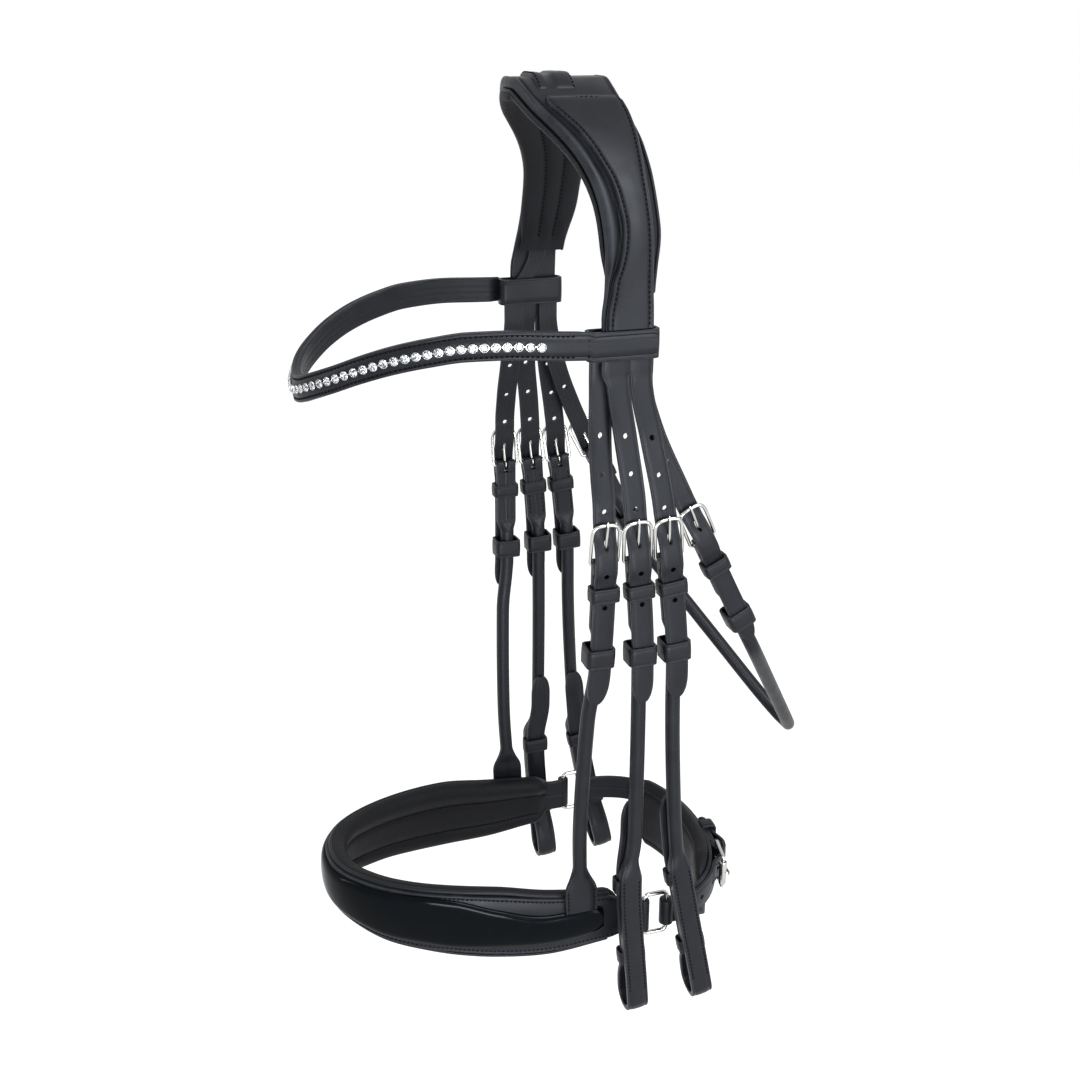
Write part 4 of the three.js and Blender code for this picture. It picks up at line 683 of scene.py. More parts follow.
STEEL = polished_metal("buffed_stainless_steel", "#a9a8a5", "#c8c8c6", 0.1, 0.2)
SILVER = polished_metal("bright_silver_cup", "#b9b9b8", "#d6d7d8", 0.12, 0.22)


def cut_stone():
    """Clear leaded glass over a silver foil, with painted glints: patches about 0.9 mm wide are painted near white as
    facet highlights or dark grey as facets in shade.
    """
    material, tree, where = blank("foiled_crystal")
    # Painted highlights and shade: noise patches painted near white stand in for glints off the facets, and the dark
    # grey for facets in shade.
    painted_glint = ramp(tree, noise(tree, where, 0.9, 0.0), [(0.42, 0.0), (0.57, 1.0)])
    principled(tree, mix(tree, painted_glint, "#47505c", "#f2f6fa"), 0.03, Transmission_Weight=0.55, IOR=1.6,
               Coat_Weight=0.4, Coat_Roughness=0.02)
    return material


STONE = cut_stone()
LEATHER_SET = [BRIDLE_LEATHER, THREAD, LINING_LEATHER]
print("metals and stones", STEEL.name, SILVER.name, STONE.name)

# %% [markdown]
# ## The stage
# A camera that was fitted to mirror pairs of the photograph stands level with the top of the headpiece, at its
# near front side. The backdrop is white for everything that looks at it, and soft boxes light the leather.

# %% Camera
def stand(thing, right, up, back, spot):
    """Puts a camera or a lamp at a spot: it looks along -back, with right and up as its picture's axes."""
    thing.matrix_world = Matrix([[*row] for row in np.column_stack([right, up, back, spot])] + [[0, 0, 0, 1]])
    bpy.context.scene.collection.objects.link(thing)


CAMERA = {"turn": 72, "tilt": 20.673349, "eye": (0.73946, -0.25142, 0.04348), "sensor": 36.0, "lens": 46.59}


def place_camera():
    turn, tilt = math.radians(CAMERA["turn"]), math.radians(CAMERA["tilt"])
    back = np.array([math.sin(turn) * math.cos(tilt), -math.cos(turn) * math.cos(tilt), math.sin(tilt)])
    right = np.array([math.cos(turn), math.sin(turn), 0])
    lens = bpy.data.cameras.new("photo_view")
    lens.sensor_width, lens.lens, lens.clip_start = CAMERA["sensor"], CAMERA["lens"], 0.01
    camera = bpy.data.objects.new("photo_view", lens)
    stand(camera, right, np.cross(back, right), back, CAMERA["eye"])
    bpy.context.scene.camera = camera
    print("camera at", CAMERA["eye"])


place_camera()

# %% Backdrop, floor and lamps
def seen_directly(tree):
    """1 for rays that look at the backdrop itself, in a mirror or through glass, and 0 for rays that light things."""
    path = add(tree, "ShaderNodeLightPath").outputs
    first = maths(tree, "MAXIMUM", path["Is Camera Ray"], path["Is Glossy Ray"])
    return maths(tree, "MAXIMUM", first, path["Is Transmission Ray"])


# Light that the white room gives, the share of the floor that glows where it is looked at, and how brightly
WORLD_LIGHT, FLOOR_GLOW, FLOOR_SHINE = 0.4, 0.72, 1.34


def white_world():
    world = bpy.data.worlds.new("white_studio")
    world.use_nodes = True
    tree = world.node_tree
    tree.nodes.clear()
    strength = add(tree, "ShaderNodeMapRange", {"Value": seen_directly(tree), "To Min": WORLD_LIGHT, "To Max": 1.0})
    light = add(tree, "ShaderNodeBackground", {"Color": linear("#ffffff"), "Strength": strength.outputs[0]})
    add(tree, "ShaderNodeOutputWorld", {"Surface": light.outputs[0]})
    bpy.context.scene.world = world


def pale_floor():
    """White paper: it shines where it is looked at, and the share of plain paper left keeps the bridle's shadow."""
    size, low = 3.0, -0.62
    mesh = bpy.data.meshes.new("floor")
    mesh.from_pydata([(-size, -size, low), (size, -size, low), (size, size, low), (-size, size, low)], [],
                     [(0, 1, 2, 3)])
    floor = bpy.data.objects.new("floor", mesh)
    bpy.context.scene.collection.objects.link(floor)
    material, tree, _ = blank("white_paper_roll")
    paper = add(tree, "ShaderNodeBsdfDiffuse", {"Color": linear("#f4f4f4")})
    glow = add(tree, "ShaderNodeEmission", {"Color": linear("#ffffff"), "Strength": FLOOR_SHINE})
    share = maths(tree, "MULTIPLY", seen_directly(tree), FLOOR_GLOW)
    mixed = add(tree, "ShaderNodeMixShader", {0: share, 1: paper.outputs[0], 2: glow.outputs[0]})
    finish_with(tree, mixed)
    mesh.materials.append(material)


def soft_box(name, spot, aim, wide, high, watts):
    lamp = bpy.data.lights.new(name, "AREA")
    lamp.shape, lamp.size, lamp.size_y, lamp.energy = "RECTANGLE", wide, high, watts
    box = bpy.data.objects.new(name, lamp)
    z = unit(np.array(spot, float) - np.array(aim, float))
    x = unit(np.cross([0, 0, 1], z))
    stand(box, x, np.cross(z, x), z, spot)


bpy.context.scene.view_settings.view_transform = "Standard"
white_world()
pale_floor()
MIDDLE = (0, 0.0, -0.27)
soft_box("key_box", (1.1, 0.35, 1.0), MIDDLE, 0.9, 0.9, 29)
soft_box("side_box", (1.5, 0.75, -0.15), MIDDLE, 0.7, 0.8, 10)
soft_box("front_strip", (-0.3, -1.5, 0.5), MIDDLE, 0.12, 1.4, 7)
soft_box("low_strip", (1.35, -0.3, -0.42), (0.05, -0.05, -0.46), 0.8, 0.22, 16)

# %% [markdown]
# ## Headpiece
# The headpiece lies over the poll, just behind the ears. It is cut back behind the ears and padded, and its
# front and rear edges are turned over a cord. Its line over the head is a rounded arch: sideways x grows as
# sin(turn)^1.3 and its height falls as cos(turn), with a flat seat in the middle.

# %% The arch over the poll
POLL_FLAT, LOOP_DROP, POLL_DEPTH = 9.0, 112.0, 12.0
POWER, EASE_IN = 1.3, 0.8
FLAT_TURN = math.degrees(math.asin((POLL_FLAT / BROW_HALF) ** (1 / POWER)))
ARCH_RISE = (LOOP_DROP + POLL_DEPTH) / math.cos(math.radians(FLAT_TURN))
FRONT, REAR, FRONT_RIM = 30.5, 27.0, 8.0
# Share of the quarter turn from poll to side, then the front and the rear edge as shares of FRONT and REAR
EDGES = [[0, -1, 0.89], [0.1, -0.99, 0.89], [0.19, -0.94, 0.89], [0.267, -0.86, 0.91], [0.32, -0.765, 0.96],
         [0.367, -0.64, 1], [0.433, -0.445, 1.02], [0.49, -0.285, 1.015], [0.54, -0.17, 1.01], [0.59, -0.085, 1],
         [0.645, -0.025, 1], [0.7, 0, 1], [0.76, 0.005, 0.98], [0.82, -0.02, 0.94], [0.89, -0.08, 0.907],
         [0.95, -0.138, 0.907], [1, -0.138, 0.907]]
# The same share, then where the front rim ends as a share of FRONT_RIM
PANEL_EDGE = [[0, 0.7], [0.27, 0.7], [0.33, 0.82], [0.44, 1.05], [0.53, 1], [0.585, 1.1], [0.65, 1.12],
              [0.715, 1.17], [0.77, 1.01], [0.82, 0.75], [0.86, 0.46], [0.95, 0.34], [1, 0.3]]


def arch(turn, extra=0.0):
    """Frames over the poll at turns in degrees: o, t over the head, w rearwards, n outwards.

    extra runs straight down. The flat seat meets the arch by a smooth minimum, half of a + b - hypot(a - b, c).
    """
    turn = np.asarray(turn, float)

    def spot(value):
        angle = np.radians(np.abs(value))
        x = BROW_HALF * np.sin(np.minimum(angle, math.pi / 2)) ** POWER * np.sign(value)
        free = ARCH_RISE * np.cos(angle) - LOOP_DROP
        z = 0.5 * (free + POLL_DEPTH - np.hypot(free - POLL_DEPTH, EASE_IN)) + 0.1 * EASE_IN
        return np.stack([x, np.zeros_like(x), z], -1)

    o = spot(turn)
    t = unit(spot(np.clip(turn + 0.4, -90, 90)) - spot(np.clip(turn - 0.4, -90, 90)))
    t = np.where((np.abs(turn) > 89.9)[..., None], [0, 0, -1.0] * np.sign(turn)[..., None], t)
    n = unit(np.stack([-t[..., 2], np.zeros_like(turn), t[..., 0]], -1))
    o = o - np.asarray(extra, float)[..., None] * [0, 0, 1.0]
    return o, t, np.broadcast_to([0.0, 1, 0], o.shape), n


def crown_edges(turn):
    """How far the front and the rear edge lie behind the middle line of the poll."""
    share = np.minimum(np.abs(turn) / 90, 1)
    return FRONT * smooth(EDGES, share, 1), REAR * smooth(EDGES, share, 2)


def rim_width(turn):
    """Width of the turned front rim: the panel lies just behind it."""
    return FRONT_RIM * smooth(PANEL_EDGE, np.abs(turn) / 90) - 1.0


# %% [markdown]
# The leather itself: the rims are half rolls along both edges, with a pressed groove inside the front one.

# %% The headpiece leather
def turns_over(last, step, ends):
    """Turns for rows on both sides of the poll: even steps up to last, then the given ends."""
    turns = np.concatenate([[0.5, 2.0, 4.0], np.arange(5.5, last, step), ends])
    return np.concatenate([-turns[::-1], turns])


CROWN_TURNS = turns_over(84, 1.5, [85.5, 87, 88.5, 90])
CROWN_END = 118.0
# Depth of the rims, what they lose towards the browband, the rear rim's width and the leather's own thickness
RIM_DEEP, RIM_FALL, REAR_RIM, CROWN_THICK = 6.1, 3.1, 5.0, 3.0


def with_ends(turns, straight):
    """Turns over the poll with straight ends down both sides: the turns, and how far each lies below the arch."""
    ends = np.full(len(straight), 90.0)
    return (np.concatenate([-ends, turns, ends]),
            np.concatenate([straight[::-1], np.zeros(len(turns)), straight]))


def crown_profile():
    """Rows (edge, offset, lift, rim, worn): edge 0 is the front and 1 the rear, and offsets scale with the rim."""
    front = [(0, 0.0, -0.45, 1, 0.6), (0, 0.06, -0.22, 1, 0.8), (0, 0.2, -0.05, 1, 0.9), (0, 0.38, 0.04, 1, 0.6),
             (0, 0.55, 0.04, 1, 0.3), (0, 0.72, -0.02, 1, 0.1), (0, 0.86, -0.12, 1, 0), (0, 0.95, -0.2, 1, 0),
             (0, 1.02, -0.2, 1, 0), (0, 1.1, -0.1, 1, 0), (0, 1.2, 0, 1, 0)]
    middle = [(share, 0, 0, 0, 0) for share in (0.3, 0.45, 0.6, 0.75)]
    rear = [(1, -0.9, 0, 1, 0), (1, -0.75, -0.05, 1, 0), (1, -0.62, -0.08, 1, 0), (1, -0.5, -0.02, 1, 0.1),
            (1, -0.34, 0.04, 1, 0.3), (1, -0.18, -0.02, 1, 0.6), (1, -0.06, -0.16, 1, 0.9), (1, 0, -0.45, 1, 0.6)]
    return np.array(front + middle + rear, float)


def crown_leather():
    """Top: lift * rim depth. Underside: -3 mm between the rims and -depth under them, rounded at the edges."""
    turns, extra = with_ends(CROWN_TURNS, np.linspace(LOOP_DROP + 2, CROWN_END, 3) - LOOP_DROP)
    front, rear = (v[:, None] for v in crown_edges(turns))
    rows = crown_profile()
    edge, offset, lift = rows[:, 0], rows[:, 1], rows[:, 2]
    deep = RIM_DEEP - RIM_FALL * ease(np.abs(turns), 72, 82)[:, None]
    scale = np.where(edge < 0.5, rim_width(turns)[:, None], REAR_RIM)
    between = front + (rear - front) * edge
    across = np.where(rows[:, 3] > 0, np.where(edge < 0.5, front, rear) + offset * scale, between)
    top = lift * np.minimum(deep, 5.5)
    near_edge = np.minimum(np.abs(across - front), np.abs(rear - across))
    low = -CROWN_THICK - (deep - CROWN_THICK) * (1 - ease(near_edge, 3.2, 5.2))
    low = -0.5 * deep + (low + 0.5 * deep) * quarter_round(near_edge / 1.6)
    shape = Shape()
    shape.grid(two_faces(arch(turns, extra), across, top, low), worn=np.append(rows[:, 4], 0 * rows[:, 4]))
    return shape


CROWN = crown_leather()

# %% [markdown]
# Over the poll, a short bridge of leather is laid across and turned down at its ends, with a sunken tunnel in
# front of its raised middle.

# %% The poll bridge
BRIDGE_HALF, BRIDGE_HIGH, BRIDGE_SEAMS = 20.0, 2.7, (-17.6, 1.2)


def poll_bridge(shape):
    """A low bolster: height over x falls as (1 - |x|^4)^0.7, and over y it has a tunnel and a raised loop."""
    x = np.linspace(-BRIDGE_HALF, BRIDGE_HALF, 41)
    ridge = arch(np.linspace(-30, 30, 400))[0]
    seat = lambda at: np.interp(at, ridge[:, 0], ridge[:, 2])
    fall = lambda at: np.clip(1 - np.abs(at / BRIDGE_HALF) ** 4, 0, 1) ** 0.7
    y = np.concatenate([np.linspace(-19, -13, 7), np.linspace(-12, -7, 6), np.linspace(-6, 2.4, 11)])
    step = np.interp(y, [-19, -18.3, -17, -13.5, -12.6, -9.4, -8.4, -7, -3, 0.5, 1.8, 2.4],
                     [0.15, 0.62, 0.86, 0.82, 0.5, 0.42, 0.7, 0.96, 1, 0.9, 0.6, 0.1])
    top = BRIDGE_HIGH * step[None, :] * fall(x)[:, None] + 0.1 + seat(x)[:, None]
    grid = np.zeros((len(x), 2 * len(y), 3))
    grid[:, :len(y)] = np.stack(np.broadcast_arrays(x[:, None], y[None], top), -1)
    grid[:, len(y):] = np.stack(np.broadcast_arrays(x[:, None], y[None, ::-1], seat(x)[:, None] - 1.5), -1)
    shape.grid(grid)
    for line in BRIDGE_SEAMS:
        xs = np.linspace(0.14 - BRIDGE_HALF, BRIDGE_HALF - 0.14, 30)
        height = seat(xs) + BRIDGE_HIGH * np.interp(line, y, step) * fall(xs)
        seam(shape, np.stack([xs, np.full(30, line), height + 0.1], -1), np.tile([0.0, 0, 1], (30, 1)))


poll_bridge(CROWN)
crown = CROWN.make("headpiece_leather", LEATHER_SET)
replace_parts(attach(crown, "headpiece"), "crown_leather")

# %% [markdown]
# ## Side panels
# A padded panel is sewn onto each side of the headpiece. Its surface is a height over the distance d to its
# nearest edge: it rounds off at the edge, dips at the seam 2.2 mm in, and swells behind the seam.

# %% The panels and their seam
SEAM_IN, BEHIND_RIM, BEFORE_REAR = 2.2, 1.0, 1.6
PANEL_LAST, PANEL_END = 88.0, 3.2


def panel_height(d):
    """Height over the leather at distance d from the panel's nearest edge."""
    edge = 2.1 * quarter_round(d / 0.9)
    dip = 0.42 * np.exp(-((d - SEAM_IN) / 0.55) ** 2)
    return GAP + edge - dip + 0.75 * (1 - np.exp(-np.clip(d - SEAM_IN, 0, None) / 3.5))


def panel_start(share):
    """Turn at which the panel starts, over the share from front to rear: a curve with both corners lower."""
    return 24.8 + 4.6 * np.abs(2 * share - 1) ** 2.2


def panel_edges(turn):
    """Where the panel's front and rear edges lie: just inside both rims."""
    front, rear = crown_edges(turn)
    return front + rim_width(turn) + BEHIND_RIM, rear - BEFORE_REAR


def panel_face(shape, turns, far):
    """Rows of equal distance from the panel's start to its end, with columns crowded at both edges."""
    offsets = np.array([0, 0.15, 0.35, 0.6, 0.9, 1.3, 1.65, 1.95, 2.2, 2.45, 2.75, 3.2, 4.2, 5.6])
    inner = np.array([0.25, 0.4, 0.5, 0.6, 0.75])
    count = len(offsets)
    length = far[-1] - PANEL_END
    down = np.concatenate([offsets, np.arange(7.5, 134, 2.6)])
    down = np.append(down[down < length - 1], length)
    start = np.interp(panel_start(np.linspace(0, 1, 2 * count + len(inner))), turns, far)
    turn = np.interp(start[None] + down[:, None] * (far[-1] - start[None]) / length, far, turns)
    front, rear = panel_edges(turn)
    across = front + (rear - front) * np.concatenate([offsets, inner, offsets])
    across[:, :count] = front[:, :count] + offsets
    across[:, -count:] = rear[:, -count:] - offsets[::-1]
    d = np.minimum(np.minimum(across - front, rear - across), down[:, None])
    o, _, w, n = arch(turn)
    top = o + across[..., None] * w + panel_height(d)[..., None] * n
    low = o + across[..., None] * w + (GAP * 0.2 + 0 * d)[..., None] * n
    shape.grid(np.concatenate([top, low[:, ::-1]], 1), worn=np.concatenate([np.exp(-d / 0.8), 0 * d], 1))


def side_panel():
    """The near panel: its face, a seam along each side, and one along its top edge."""
    shape = Shape()
    turns = np.linspace(20, PANEL_LAST, 400)
    far = distances(arch(turns)[0])
    panel_face(shape, turns, far)
    lift = panel_height(np.array(SEAM_IN)) + 0.12
    run = np.linspace(panel_start(0.05) + 1.4, PANEL_LAST - 0.5, 220)
    fronts, rears = panel_edges(run)
    fronts, rears = fronts + SEAM_IN, rears - SEAM_IN
    for line in (fronts, rears):
        o, _, w, n = arch(run)
        seam(shape, o + line[:, None] * w + lift * n, n)
    across = np.linspace(fronts[0] + 1.2, rears[0] - 1.2, 60)
    share = (across - fronts[0] + SEAM_IN) / (rears[0] - fronts[0] + 2 * SEAM_IN)
    o, _, w, n = arch(np.interp(np.interp(panel_start(share), turns, far) + SEAM_IN, far, turns))
    seam(shape, o + across[:, None] * w + lift * n, n)
    return shape


PANEL = side_panel()
for side, shape in (("near", PANEL), ("off", PANEL.mirrored())):
    piece = shape.make(f"headpiece_panel_{side}", LEATHER_SET)
    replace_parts(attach(piece, "headpiece"), f"crown_panel_{side}")

# %% [markdown]
# ## Poll pad
# Under the leather lies a pad of foam covered in soft leather. Two sewn channels part it into three rolls, and a
# thin piping runs between pad and leather. A cloth simulation could fill such a pad, but here the channels set its
# form, so a formula gives it: it rounds off at its edges, swells in each roll and dips at each channel.

# %% The poll pad
PAD_TURNS = turns_over(79, 1.8, [80.0])
CHANNELS = (0.36, 0.66)
# The pad's upper face, its depth, its largest reach behind the leather, and the depth that rests on the poll
PAD_FACE, PAD_DEEP, PAD_BEHIND, POLL_SEAT = -6.4, 5.6, 6, -12.0
PAD_REAR = [[0, 0.2], [0.3, 0.35], [0.48, 0.8], [0.6, 1], [0.72, 1], [0.82, 0.7], [1, 0.2]]


def pad_lines(turn):
    """Front and rear edge of the pad: it ends in front like the leather and reaches further back."""
    front, rear = crown_edges(turn)
    front = front - 0.9 + 3.4 * ease(np.abs(turn), 68, 80)
    return front, rear + PAD_BEHIND * smooth(PAD_REAR, np.abs(turn) / 90)


def poll_pad():
    """Underside: face - depth * (0.3 + 0.7 quarter round) + relief.

    The relief has a groove exp(-(x / 1.5)^2) at each channel and a cosine swell in each roll.
    """
    shape = Shape()
    u = np.concatenate([[0, 0.012, 0.035, 0.07, 0.12], np.linspace(0.17, 0.3, 5), [0.33, 0.35, 0.36, 0.37, 0.39],
                        np.linspace(0.43, 0.59, 5), [0.63, 0.65, 0.66, 0.67, 0.69], np.linspace(0.73, 0.88, 5),
                        [0.93, 0.965, 0.988, 1]])
    front, rear = (v[:, None] for v in pad_lines(PAD_TURNS))
    wide = rear - front
    across = front + wide * u
    end = 1 - ease(np.abs(PAD_TURNS), 70, 80)[:, None]
    depth = PAD_DEEP * (0.35 + 0.65 * end)
    edge = np.minimum(u, 1 - u) * wide
    round_off = quarter_round(edge / 4.2)
    channel = sum(np.exp(-((u - c) * wide / 1.5) ** 2) for c in CHANNELS)
    first, second = CHANNELS
    place = np.where(u < first, u / first, np.where(u < second, (u - first) / 0.3, (u - second) / 0.34))
    swell = 0.5 + 0.5 * np.cos(2 * math.pi * place)
    relief = (1.5 * channel + 0.5 * swell * (edge > 3)) * (0.25 + 0.75 * end)
    low = PAD_FACE - depth * (0.3 + 0.7 * round_off) + relief
    seat = 1 - ease(np.abs(PAD_TURNS), 4, 12)[:, None]
    low = np.minimum(low, POLL_SEAT) * seat + low * (1 - seat)
    high = PAD_FACE - (1 - round_off) * 0.3 * depth
    shape.grid(two_faces(arch(PAD_TURNS), across, high, low), finish=2)
    keep = np.abs(PAD_TURNS) < 77
    o, _, w, n = arch(PAD_TURNS[keep])
    for c in CHANNELS:
        column = np.argmin(np.abs(u - c))
        line, dip = across[keep][:, column], low[keep][:, column]
        seam(shape, o + line[:, None] * w + (dip - 0.05)[:, None] * n, -n)
    o, _, w, n = arch(PAD_TURNS)
    for line, shift in ((front[:, 0], 0.9), (rear[:, 0], -0.9)):
        bar(shape, o + (line + shift)[:, None] * w - 6.7 * n, 0.95, w, sides=10)
    return shape


PAD = poll_pad().make("poll_pad_lining", LEATHER_SET)
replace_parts(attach(PAD, "headpiece"), "poll_pad")

# %% [markdown]
# ## Straps of the headpiece
# Below the browband the headpiece splits into two straps on each side, one for each cheekpiece. They carry on as
# one piece of leather through the buckles, so each is one mesh. The noseband's strap comes out from under the
# headpiece, and the throat strap is sewn behind its rear half.

# %% The billets
# A tongue hole's distance above the heel bar, its half width and half length; round holes at drops, with a radius
TONGUE_HOLE = (11.0, 1.15, 3.2)
HOLES = {"hanger": (163, 183, 202), "front": (163, 183, 202), "rear": (165, 185, 203), "throat": (160, 180)}
HOLE, SPARE_HOLES = 1.5, (6.0, 24.5)
BUCKLE_LONG = 22.5
BUCKLE = {"half": 6.75, "shoulder": 0.62, "bow": 0.6, "rise": 3.7, "tongue": 0.8}
# Where a billet starts below the poll, and how far its tip passes the heel bar
BILLET_TOP, FORKED_TOP, TIP, THROAT_TIP = 119, 118, 84, 70


def stack():
    """Heights over the heel bar's middle: the chape's back and front, the roll's front, and the face over the bar."""
    back = -(WIRE + GAP + CHAPE / 2)
    return back, back + CHAPE, ROLL - ROLL_DEEP, GAP - back


def billet_centre(heel, pace, tip):
    """How far out the middle of the punched strap lies: flat, up through the buckle, over the bar and down again."""
    _, _, roll_front, over = stack()
    below = lambda far: heel + far / pace
    rest = roll_front + GAP + LEATHER / 2
    return [[100, 0], [below(-BUCKLE_LONG - 4.4), 0], [below(-BUCKLE_LONG), 0.48], [below(-17.2), 0.92],
            [below(-5.4), over + 0.66], [below(0), over + 1.1], [below(3.4), over + 1.1], [below(11), rest],
            [below(2 * tip), rest]]


def forked(half, edge, extra, side):
    """Functions of the drop for a strap that starts as half of the headpiece: its cut edge stays square."""
    apart = lambda d: 1 - ease(d, 130, 138)
    cut_edge = lambda d: 0.03 + 0.97 * ease(d, 130.5, 133.5)
    whole = lambda d: 1 + 0 * d
    soft = (cut_edge, whole) if side > 0 else (whole, cut_edge)
    return (lambda d: half + extra * apart(d), lambda d: edge * apart(d),
            lambda d: LEATHER + 0.8 * (1 - ease(d, 126, 138)), soft)


def billet(name, heel, half, top, tip, fork=None):
    """Punched strap from the headpiece to its tip; fork is how far it leans and widens where it leaves the other."""
    where = route(name)
    pace = pace_at(where, heel)
    end = heel + tip / pace
    table = billet_centre(heel, pace, tip)
    drops = np.concatenate([np.arange(top, end - POINT, 2.2), point_rows(end)])
    wide, shift, thick, soft = forked(half, *fork) if fork else (lambda d: half, None, lambda d: LEATHER, None)
    middle = lambda d: smooth(table, d)
    holes = [(d, HOLE, HOLE) for d in HOLES[name]]
    holes += [(heel - TONGUE_HOLE[0] / pace, TONGUE_HOLE[1], TONGUE_HOLE[2])]
    holes += [(heel + far / pace, HOLE, HOLE) for far in SPARE_HOLES] if name != "throat" else []
    shape = Shape()
    strap(shape, where, drops, lambda d: wide(d) * point_share(d, end), lambda d: middle(d) - thick(d) / 2,
          lambda d: middle(d) + thick(d) / 2, shift=shift, holes=holes, soft=soft)
    return shape


# Above the fork of both cheek straps: how far the middle lies off, how much wider the strap is, its cut side
FORKS = {"front": (-1.25, 1.7, 1), "rear": (0.1, 0.15, -1)}
BILLETS = {name: billet(name, HEEL, STRAP_HALF, FORKED_TOP, TIP, FORKS[name]) for name in ("front", "rear")}
BILLETS["hanger"] = billet("hanger", HEEL, STRAP_HALF, BILLET_TOP, TIP)
BILLETS["throat"] = billet("throat", THROAT_HEEL, THROAT_HALF, BILLET_TOP, THROAT_TIP)
CARRIED = {"front": "cheek_front_{}", "rear": "cheek_rear_{}", "hanger": "noseband", "throat": "throat_lash"}
NODE = {"front": "cheek_front_{}", "rear": "cheek_rear_{}", "hanger": "hanger_{}", "throat": "throat_{}"}
for name, shape in BILLETS.items():
    for side, own, sign in (("near", shape, 1), ("off", shape.mirrored(), -1)):
        piece = own.make(NODE[name].format(side) + "_punched_strap", LEATHER_SET)
        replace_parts(piece, NODE[name].format(side) + "_billet")
        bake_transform(piece)


# %% The noseband's strap over the poll
HEADSTRAP = {"half": 5.2, "low": -5.7, "high": -3.3}
BEHIND = [[0, -2], [0.3, -4], [0.42, 0], [0.53, 7.2], [0.63, 12.2], [0.73, 13], [0.82, 12.8], [0.911, 11], [1, 2]]


def headstrap():
    """The noseband's flat strap between leather and pad; it hangs straight below both ends of the arch."""
    turns, extra = with_ends(CROWN_TURNS, np.linspace(2, 6.5, 3))
    centre = smooth(BEHIND, np.abs(turns) / 90) - 0.5 * extra
    half, low, high = (np.full(len(turns), HEADSTRAP[key]) for key in ("half", "low", "high"))
    across, out = outline(STRAP_BAND, half, low, high, centre)
    shape = Shape()
    shape.grid(skin(arch(turns, extra), across, out), worn=STRAP_BAND[0][:, 4])
    return shape


piece = headstrap().make("noseband_poll_strap", LEATHER_SET)
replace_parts(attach(piece, "headpiece"), "noseband_headstrap")

# %% [markdown]
# ## Buckles
# Each buckle is a wire frame with square heel corners and an arched top. Its tongue is a wire that turns round the
# heel bar, comes up through the strap's hole and rests on the top bar.

# %% Buckle frames and tongues
def buckle_line(half, long, wire, shoulder, bow, rise):
    """Up, across and out of the frame's wire: the arch is a superellipse |cos|^bow, |sin|^bow above the shoulders."""
    side, top = half + wire, long * shoulder
    r = 1.7
    corner = np.radians(np.linspace(-90, 0, 7))
    heel = np.stack([r + r * np.sin(corner), side - r + r * np.cos(corner)], -1)
    turn = np.radians(np.concatenate([np.linspace(0, 12, 7), np.linspace(16, 74, 16), np.linspace(78, 102, 9),
                                      np.linspace(106, 164, 16), np.linspace(168, 180, 7)]))
    over = np.stack([top + (long - top) * np.sin(turn) ** bow,
                     side * np.sign(np.cos(turn)) * np.abs(np.cos(turn)) ** bow], -1)
    line = np.concatenate([heel, over, heel[::-1] * [1, -1]])
    line = even(line, 150, ring=True)
    return np.column_stack([line, rise * line[:, 0] / long])


def buckle_frame(place, half, long, wire, shoulder, bow, rise):
    """The frame's wire as a closed bar round its line; place is the heel bar's middle."""
    shape = Shape()
    line = buckle_line(half, long, wire, shoulder, bow, rise)
    bar(shape, put(place, line[:, 0], line[:, 1], line[:, 2]), wire, place[3], ring=True, flat=0.94)
    return shape


def buckle_tongue(place, long, wire, rise, reach, thick, tube, play):
    """Out = rest * (up / long)^0.92 up to the top bar, then the tip bends down over it."""
    rest = rise + tube + play + thick
    up = np.concatenate([np.linspace(1.9, long, 22), long + (reach - long) * np.array([0.35, 0.7, 1.0])])
    out = rest * np.minimum(1, up / long) ** 0.92 - 0.25 * ease(up, long, reach)
    shape = Shape()
    radius = thick * (1 - 0.3 * ease(up, 0.7 * long, reach))
    bar(shape, put(place, up, 0, out), radius, place[3], flat=0.9)
    turn = np.radians(np.arange(0, 360, 15))
    eye = wire + GAP + 0.62
    bar(shape, put(place, eye * np.cos(turn), 0, eye * np.sin(turn)), 0.58, place[2], ring=True)
    return shape


# %% [markdown]
# ## Keepers
# A keeper is a loop of leather round the strap. Its profile is a small strap with a crease along both edges,
# carried round a rectangle with rounded corners.

# %% Keepers
def rounded(half, low, high, radius, steps=6):
    """Across and out round a rectangle whose corners are arcs, and the outward direction at each point."""
    spots, faces = [], []
    for sx, sy, first in ((1, 1, 0), (-1, 1, 90), (-1, -1, 180), (1, -1, 270)):
        cx = sx * (half - radius)
        cy = (high - radius) if sy > 0 else (low + radius)
        for angle in np.radians(first + np.linspace(0, 90, steps)):
            spots.append((cx + radius * math.cos(angle), cy + radius * math.sin(angle)))
            faces.append((math.cos(angle), math.sin(angle)))
    return np.array(spots), np.array(faces)


def keeper(shape, place, up, high, half, low, top, wall=1.5, radius=1.2):
    """A loop of leather high mm tall, its middle up mm along the strap, round the room from low to top."""
    spots, faces = rounded(half, low, top, radius)
    o, s, w, n = place
    base = o + up * s
    line = base + spots[:, :1] * w + spots[:, 1:] * n
    out = faces[:, :1] * w + faces[:, 1:] * n
    frames = (line, None, np.broadcast_to(s, line.shape), out)
    size = np.full(len(line), high / 2)
    across, level = outline(KEEPER_BAND, size, np.zeros(len(line)), np.full(len(line), wall), size=4.0)
    shape.grid(skin(frames, across, level), ring=True, worn=KEEPER_BAND[0][:, 4])


def fixed_keeper(shape, place, half):
    """The sewn keeper below the buckle, over chape and billet."""
    back, _, roll_front, _ = stack()
    keeper(shape, place, -17.2, 8, half + 0.4, back + GAP, roll_front + LEATHER + 3 * GAP + 0.4)


